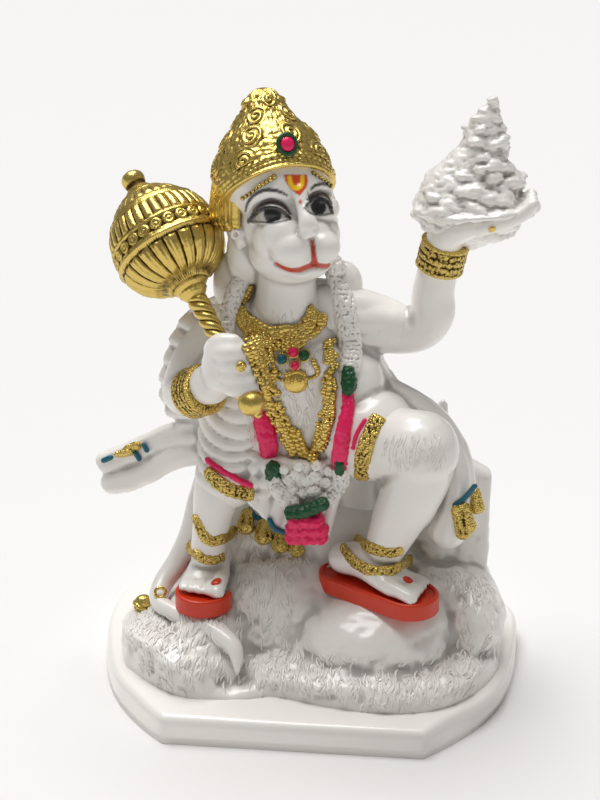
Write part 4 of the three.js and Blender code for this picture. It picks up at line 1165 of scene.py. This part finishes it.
pink_enamel = enamel("bright_pink_enamel", "#f01a62", "#8d0a34")
green_enamel = enamel("dark_green_enamel", "#0d4f2a", "#04220f")
teal_enamel = enamel("teal_blue_enamel", "#115f73", "#062a34")
brow_out = np.array([math.sin(HEAD_YAW), -math.cos(HEAD_YAW), 0.35])
gem_place = np.array([-5.9, -9.6, 205.9])
pink_gems, green_gems, teal_gems, gold_mounts = (bmesh.new() for _ in range(4))
jewel(pink_gems, gem_place + brow_out * 0.5, brow_out, 2.5, 1.4)
hoop(green_gems, gem_place + brow_out * 0.4, brow_out, 3.15, 0.75, 1.05)
for form, (u, v), size in ((pink_gems, (293.4, 352), 1.8), (pink_gems, (295.2, 365), 1.55),
                           (teal_gems, (282.7, 358.8), 1.75), (green_gems, (305.4, 356.2), 1.9)):
    place, out = seat(u, v, 1.5)
    jewel(form, place, out, size, 1.5)
    hoop(gold_mounts, place - out * 0.5, out, size + 0.15, 0.4)
place, out = seat(296, 382, 0.6)
jewel(gold_mounts, place, out, 3.9, 1.6)
hoop(gold_mounts, place, out, 3.6, 0.7, 0.9)
beads(gold_mounts, seated([(287, 374), (296, 371), (305, 374)], 1, 7), 0.9)
for index in range(5):
    place, out = seat(289.5 + 3.3 * index, 379 + 1.5 * (index % 2), 2.0)
    jewel(gold_mounts, place, out, 0.7, 0.5)
# The pommel side of the fist wears a ring, and so does the raised hand.
place, out = seat(241, 366.5, 0.3)
jewel(gold_mounts, place, out, 1.9, 0.9)
beads(gold_mounts, [place + out * 0.7 + np.array([0.9 * math.cos(a), 0, 0.9 * math.sin(a)])
                    for a in np.linspace(0, 5.2, 5)], 0.6)
place, out = seat(492, 229, 0.2)
jewel(gold_mounts, place, out, 1.2, 0.6)
piece("pink_jewels", as_mesh(pink_gems, outward=True), pink_enamel)
piece("green_jewels", as_mesh(green_gems, outward=True), green_enamel)
piece("teal_jewel", as_mesh(teal_gems, outward=True), teal_enamel)
piece("pendant_and_rings", as_mesh(gold_mounts, outward=True), gold_paint)


# Cuffs, anklets and thigh bands: cast round the limbs, granulated between plain ridges, gold.
def cuff(name, middle, way, radius, half, grains, flare=0.0):
    way = np.array(way, float) / np.linalg.norm(way)
    middle = np.array(middle, float)
    length = 2 * half
    profile = [(0, radius - 2), (0.02, radius + 0.4), (0.1, radius + 0.9), (0.3, radius + 0.8),
               (0.5, radius + 0.8 + flare), (0.7, radius + 0.8), (0.9, radius + 0.9),
               (0.98, radius + 0.4), (1, radius - 2)]

    def carved(angle, level, _):
        grid = np.stack([angle * radius, level * length, np.zeros(len(angle))], 1)
        inner = band(level, 0.16, 0.84, 0.03)
        edge = cord(level, 0.09, 0.035) + cord(level, 0.91, 0.035)
        middle_line = cord(level, 0.5, 0.04)
        ridges = np.abs(np.sin(level * np.pi * 5)) ** 0.7 - 0.6
        return (0.45 * inner * (cells(grid, grains, radius) - 0.4) + 0.2 * inner * ridges
                + 0.4 * edge + 0.2 * middle_line)
    form = turned(middle - way * half, middle + way * half, profile, 44, 150, carved)
    bmesh.ops.holes_fill(form, edges=form.edges[:])
    mesh = as_mesh(form, outward=True)
    mark_hollows(mesh, 8, 0.25)
    piece(name, mesh, granular_gold)


cuff("right_cuff", (-37.2, -11.6, 118.2), (0.66, -0.62, 0.42), 8, 5, 1.2)
cuff("left_cuff", (46.9, 5, 166), (0.22, -0.24, 1), 7.4, 5.8, 1.5)


def strap(name, line, half_wide, thick, grains, material, wide_way=(0, 0, 1), carve=0.6):
    """A raised band that lies on the casting along a line in the photograph."""
    form = bmesh.new()
    limb(form, [(*p[:3], half_wide if len(p) == 3 else p[3], thick) for p in seated(line)],
         side=wide_way, around=28, along=60, cap=0.04)
    mesh = cast(form, 0.42, 1)
    spots, _ = places_of(mesh)
    stand_out(mesh, carve * (cells(spots, grains, 4) - 0.35))
    mark_hollows(mesh, 8, 0.4)
    return piece(name, mesh, material)


strap("right_thigh_band", [(207, 472), (216, 481), (229, 489), (242, 493), (252, 494)],
      2.8, 1.0, 1.1, granular_gold)
strap("right_thigh_edge", [(207, 460), (218, 468), (233, 477), (251, 486)],
      1.2, 0.9, 1.6, pink_enamel, carve=0.3)
strap("left_thigh_band", [(378, 418), (368, 440), (363, 458), (362, 477)],
      2.8, 1.2, 1.2, granular_gold, wide_way=(1, 0, 0))
strap("left_thigh_edge", [(365, 420), (357, 434), (353, 448)],
      0.8, 0.8, 1.6, pink_enamel, wide_way=(1, 0, 0), carve=0.3)
for name, line, wide in (
        ("right_upper_anklet", [(196, 517), (200, 528), (206, 538), (214, 541), (224, 538),
                                (234, 531)], 2.1),
        ("right_lower_anklet", [(189, 547), (196, 554), (205, 559), (214, 560), (222, 557)], 1.9),
        ("left_upper_anklet", [(357, 540), (366, 546), (378, 550), (392, 552), (400, 550)], 2.2),
        ("left_lower_anklet", [(343, 548), (352, 560), (366, 569), (382, 572), (398, 569),
                               (410, 560)], 2.2)):
    strap(name, line, wide, 1.1, 1.2, granular_gold)


# The garland: florets strung in a thick rope round the neck and down to the knees, white with
# pink and green bunches and a pink tassel. Cast and picked out with thick enamel.
def floral(name, rolls, material, size, height, voxel=0.5):
    form = bmesh.new()
    for line, side in rolls:
        limb(form, line, side=side, around=24, along=60, cap=0.06)
    mesh = cast(form, voxel, 2)
    spots, _ = places_of(mesh)
    stand_out(mesh, height * (cells(spots, size, 7) - 0.45) + 0.45 * height * cloudy(spots, 0.9, 8))
    mark_hollows(mesh, 6, height * 0.5)
    return piece(name, mesh, material)


ACROSS, UPRIGHT = (1, 0, 0), (0, 0, 1)


def strand(line, half, deep=2.4, lift=0.8):
    return [(*p[:3], half if len(p) == 3 else p[3], deep) for p in seated(line, lift)]


floral("white_garland", [
    (strand([(333, 268, 2.6), (339, 284, 3.2), (344, 305, 3.9), (347, 325, 4.1), (349, 345, 4.1),
             (350, 368, 3.8)], 3.8), ACROSS),
    (strand([(272, 470, 2.2), (277, 484, 2.8), (284, 496, 3.2), (293, 503, 3)], 3), ACROSS),
    (strand([(343, 470, 3.2), (340, 480, 3.4), (333, 492, 3.4), (322, 500, 3.2)], 3.2), ACROSS),
    ([(10, 6, 160, 3.2), (2, 12, 165, 3.2), (-8, 15, 166, 3.2), (-18, 11, 162, 3.2),
      (-24, 3, 155, 3.2), (-27.5, -2, 146, 3.2), (-28.5, -6, 137, 3)], UPRIGHT),
], glazed_resin, 1.3, 0.8, 0.5)
floral("pink_flowers", [
    (strand([(263, 416, 3), (265, 428, 3.6), (268, 442, 3.6), (269, 456, 3)], 3.4), ACROSS),
    (strand([(348, 396, 2), (348, 410, 2.3), (345, 428, 2.6), (342, 446, 2.9), (341, 456, 3)],
            2.6), ACROSS),
    (strand([(341, 460, 3.2), (341, 470, 2.8)], 3, 2, 0.6), ACROSS),
], pink_enamel, 2.2, 0.6)
tassel = bmesh.new()
for v, size, across in ((520, 3.1, (296, 306, 316)), (529, 3.2, (294, 303, 312, 320)),
                        (537, 2.5, (292, 299, 306, 313, 321))):
    for u in across:
        ball(tassel, level_with(u, v, -20.5), (size, 4, size))
tassel_mesh = cast(tassel, 0.4, 3)
spots, _ = places_of(tassel_mesh)
stand_out(tassel_mesh, 0.6 * (cells(spots, 1.5, 7) - 0.45))
mark_hollows(tassel_mesh, 6, 0.3)
piece("pink_tassel", tassel_mesh, pink_enamel)
floral("green_leaves", [
    (strand([(348, 373, 2.2), (349, 382, 2.7), (348, 390, 2.3)], 3, 3, 1.4), ACROSS),
    (strand([(272, 466, 2.4), (273, 474, 2.8)], 2.7, 2.6, 1.4), ACROSS),
    ([(*level_with(u, v, -22), 2.3, 3) for u, v in ((291, 513), (300, 512), (311, 509),
                                                     (323, 504))], UPRIGHT),
    (strand([(342, 459, 1.8), (342, 466, 1.8)], 1.8, 2.6, 1.6), ACROSS),
], green_enamel, 1.7, 0.8)
curls = bmesh.new()
for index, (u, v, size) in enumerate((
        (288, 478, 3.4), (298, 474, 3.2), (307, 480, 3.4), (316, 476, 3), (325, 481, 3.2),
        (293, 489, 3.2), (303, 492, 3.2), (314, 490, 3.2), (300, 466, 2.6), (318, 466, 2.8),
        (329, 470, 2.6), (284, 468, 2.6))):
    place, out = seat(u, v, 0.6)
    ball(curls, place, (size * 0.8, size * 0.6, size * 0.6), detail=2)
    hoop(curls, place + out * 0.8, out, size * 0.45, 0.6)
curls_mesh = cast(curls, 0.35, 1)
spots, _ = places_of(curls_mesh)
stand_out(curls_mesh, 0.6 * cells(spots, 1.2, 2) - 0.25)
mark_hollows(curls_mesh, 8, 0.4)
piece("curled_flowers", curls_mesh, glazed_resin)


# The cloth's hems: the pleats end in gold tubes under a line of teal, below the loincloth, at the
# scarf's root and where the shawl ends behind the knee.
SAME_CLOTH = 4


def hung(line, lift):
    """Places on the cloth: a point whose pixel shows what lies behind the cloth hangs level."""
    rows = seated(line, lift)
    return [row if abs(row[1] - rows[0][1]) < SAME_CLOTH else tuple(level_with(u, v, rows[0][1]))
            for row, (u, v) in zip(rows, line)]


gold_hems, teal_lines = bmesh.new(), bmesh.new()
HEM_ENDS = [
    ((249, 514), (247, 528), 3.0), ((264, 524), (264, 538), 2.9), ((281, 533), (281, 547), 2.7),
    ((295, 541), (297, 552), 2.4), ((456, 508), (461, 532), 2.4), ((463, 506), (468, 527), 2.6),
    ((472, 491), (477, 508), 2.4), ((128, 448), (139, 445), 1.6), ((118, 454), (131, 451), 1.6),
]
for start, end, half in HEM_ENDS:
    rows = hung([start, end], 1.2)
    limb(gold_hems, [(*rows[0], half * 0.8, half * 0.7), (*rows[1], half * 1.2, half)],
         around=20, along=24, relief=folds(6, 0.3, 0.0, start[0]))
for line in ([(250, 510), (256, 517), (263, 520), (269, 518)],
             [(270, 519), (274, 526), (280, 531), (288, 532)], [(455, 505), (463, 498), (475, 486)],
             [(145, 444), (148, 450)], [(137, 453), (140, 458)], [(104, 460), (112, 457)]):
    limb(teal_lines, [(*p, 1.1, 1) for p in hung(line, 0.9)], side=UPRIGHT, around=12, along=30)
for form, name, material, slot in ((gold_hems, "gold_hems", granular_gold, "gold_paint"),
                                   (teal_lines, "teal_lines", teal_enamel, "teal_enamel")):
    mesh = cast(form, 0.5, 1)
    mark_hollows(mesh, 10, 0.4)
    piece(name, mesh, material)


# The herb mountain on the raised hand: a flat crag on leaves, boulders and steps piled up to a
# leaning peak. Cast with the hand and left white.
MOUNTAIN_STEPS = [
    (181, 55.8, 20.5, 15), (184, 55.9, 22.6, 17), (188, 55.9, 19.6, 16), (191.4, 56.5, 18, 14.6),
    (195, 57.3, 15, 12.6), (198.3, 58.1, 12.6, 11), (202.2, 59.1, 10.6, 9.4), (206, 59.5, 9, 8.2),
    (209.5, 59.5, 7.8, 7), (213.3, 59.9, 6, 5.6), (216.4, 60.7, 4.2, 4.2), (218.7, 61.5, 2.4, 2.4),
]
mountain = bmesh.new()
limb(mountain, [(x, 4, z, w - 2, d - 2) for z, x, w, d in MOUNTAIN_STEPS], side=ACROSS, along=50,
     cap=0.03)
limb(mountain, [(38, 0, 183, 1.6, 5), (46, 0, 182, 2.4, 12), (56, 0, 183, 2.6, 15),
                (68, 0, 184, 2.4, 13), (77, 0, 184.5, 2.2, 6)], side=UPRIGHT)
chance = np.random.default_rng(7)
for z, x, w, d in MOUNTAIN_STEPS:
    for _ in range(int(3 + 0.45 * w)):
        angle = chance.uniform(0, 2 * np.pi)
        size = chance.uniform(3, 5.6) * (0.28 + 0.034 * w)
        ball(mountain,
             (x + math.cos(angle) * (w - 1.3 * size), 4 + math.sin(angle) * (d - 1.15 * size),
              z + chance.uniform(-1.5, 1.5)),
             (size * chance.uniform(1, 1.6), size * 1.2, size * chance.uniform(0.4, 0.7)),
             turn=(chance.uniform(-15, 15), chance.uniform(-15, 15), chance.uniform(0, 90)))
mountain_mesh = cast(mountain, 0.65, 5)
spots, _ = places_of(mountain_mesh)
layers = spots * (1, 1, 2.2)
stand_out(mountain_mesh, 0.5 * (cells(layers, 5, 5) - 0.4) + 0.6 * cloudy(layers, 4, 6)
          + 0.3 * cloudy(layers, 1.5, 7))
mark_hollows(mountain_mesh, 8, 0.7)
piece("herb_mountain", mountain_mesh, glazed_resin)


# The tail's bell: a small gold bell hung by a ring where the tail curls on the rock.
bell = bmesh.new()
place, out = seat(146, 607, 2.2)
ball(bell, place, (3.3, 3, 2.9))
ball(bell, place + np.array([-2.2, 0, -2.6]), (1.6, 1.6, 1.5))
hoop(bell, place + np.array([-0.8, -0.4, -1.4]), (0.5, 0.2, 0.9), 3.0, 0.7)
ball(bell, place + np.array([3.6, 0.6, 1.2]), (1.3, 1.2, 1.2))
place, out = seat(160, 595, 1.2)
hoop(bell, place, (0.2, -1, 0.4), 1.9, 0.6)
bell_mesh = cast(bell, 0.35, 1)
spots, _ = places_of(bell_mesh)
stand_out(bell_mesh, 0.2 * cells(spots, 1.2, 3))
mark_hollows(bell_mesh, 8, 0.3)
piece("tail_bell", bell_mesh, gold_paint)


# The hair: short crescent strokes cut with a gouge over the furry mounds, the chest and the knee.
def strokes(name, count, seed, choose, length, thick, curl):
    chance = np.random.default_rng(seed)
    whole, form = bmesh.new(), bmesh.new()
    made = 0
    while made < count:
        spot, way = choose(chance)
        place, out, _, _ = casting.find_nearest(Vector(spot))
        way = Vector(way) - out * Vector(way).dot(out)
        if way.length < 0.2:
            continue
        way.normalize()
        aside = out.cross(way) * (1 if chance.uniform() < 0.5 else -1)
        size = length * chance.uniform(0.7, 1.25)
        rows = []
        for step in range(5):
            run = (step / 4 - 0.5) * size
            swerve = aside * curl * run * run / size
            near, away, _, _ = casting.find_nearest(place + way * run + swerve)
            rows.append((*(near + away * 0.12), thick * (1 - 0.75 * abs(step / 2 - 1))))
        limb(form, rows, side=tuple(aside), around=5, along=5, cap=0.16)
        made += 1
        if made % 25 == 0 or made == count:
            batch = as_mesh(form, outward=True)
            whole.from_mesh(batch)
            form = bmesh.new()
    return piece(name, as_mesh(whole), glazed_resin)


def on_mounds(chance):
    while True:
        x, y = chance.uniform(-66, 68), chance.uniform(-46, 6)
        top = float(mound_height(np.array([x]), np.array([y]))[0])
        on_boulder = ((x - 27) / 31) ** 2 + ((y + 14) / 24) ** 2 < 1 and top > 27
        if top > PLINTH_THICKNESS + 2 and not on_boulder:
            return (x, y - 2, top), (0.35 * chance.normal(), -1, -0.8)


def on_chest(chance):
    return ((chance.uniform(-20, 12), -14, chance.uniform(100, 146)),
            (0.3 * chance.normal(), 0, -1))


def on_knee(chance):
    return (seat(chance.uniform(382, 446), chance.uniform(436, 472))[0],
            (0.25 * chance.normal(), 0, -1))


strokes("knee_strokes", 150, 9, on_knee, 2.6, 0.24, 0.2)
strokes("rock_strokes", 1500, 3, on_mounds, 4.6, 0.6, 0.6)
strokes("chest_strokes", 300, 5, on_chest, 4.4, 0.36, 0.3)


# The stage: a white table top under soft light from a large window overhead.
TABLE_REACH = 6
TABLE_WHITE = "#e2e1e0"
ROOM_WHITE = "#fffcf8"
ROOM_LIGHT = 0.22
WINDOW_LIGHT = 3.3
WINDOW_SPREAD = math.radians(46)
TOWARDS_WINDOW = Vector((-0.16, 0.16, 1))
floor = bmesh.new()
bmesh.ops.create_grid(floor, x_segments=1, y_segments=1, size=TABLE_REACH)
floor_mesh = as_mesh(floor)
floor_piece = bpy.data.objects.new("table_top", floor_mesh)
scene.collection.objects.link(floor_piece)
table_white = bare_material("white_table_top")
shader = add(table_white, "ShaderNodeBsdfPrincipled",
             {"Base Color": colour(TABLE_WHITE), "Roughness": 0.9})
add(table_white, "ShaderNodeOutputMaterial", {"Surface": shader.outputs[0]})
floor_mesh.materials.append(table_white)

world = bpy.data.worlds.new("room")
scene.world = world
world.use_nodes = True
world.node_tree.nodes["Background"].inputs["Color"].default_value = colour(ROOM_WHITE)
world.node_tree.nodes["Background"].inputs["Strength"].default_value = ROOM_LIGHT
window = bpy.data.objects.new("window", bpy.data.lights.new("window", "SUN"))
window.data.energy = WINDOW_LIGHT
window.data.angle = WINDOW_SPREAD
window.rotation_euler = TOWARDS_WINDOW.to_track_quat("Z", "Y").to_euler()
scene.collection.objects.link(window)
scene.view_settings.view_transform = "Standard"
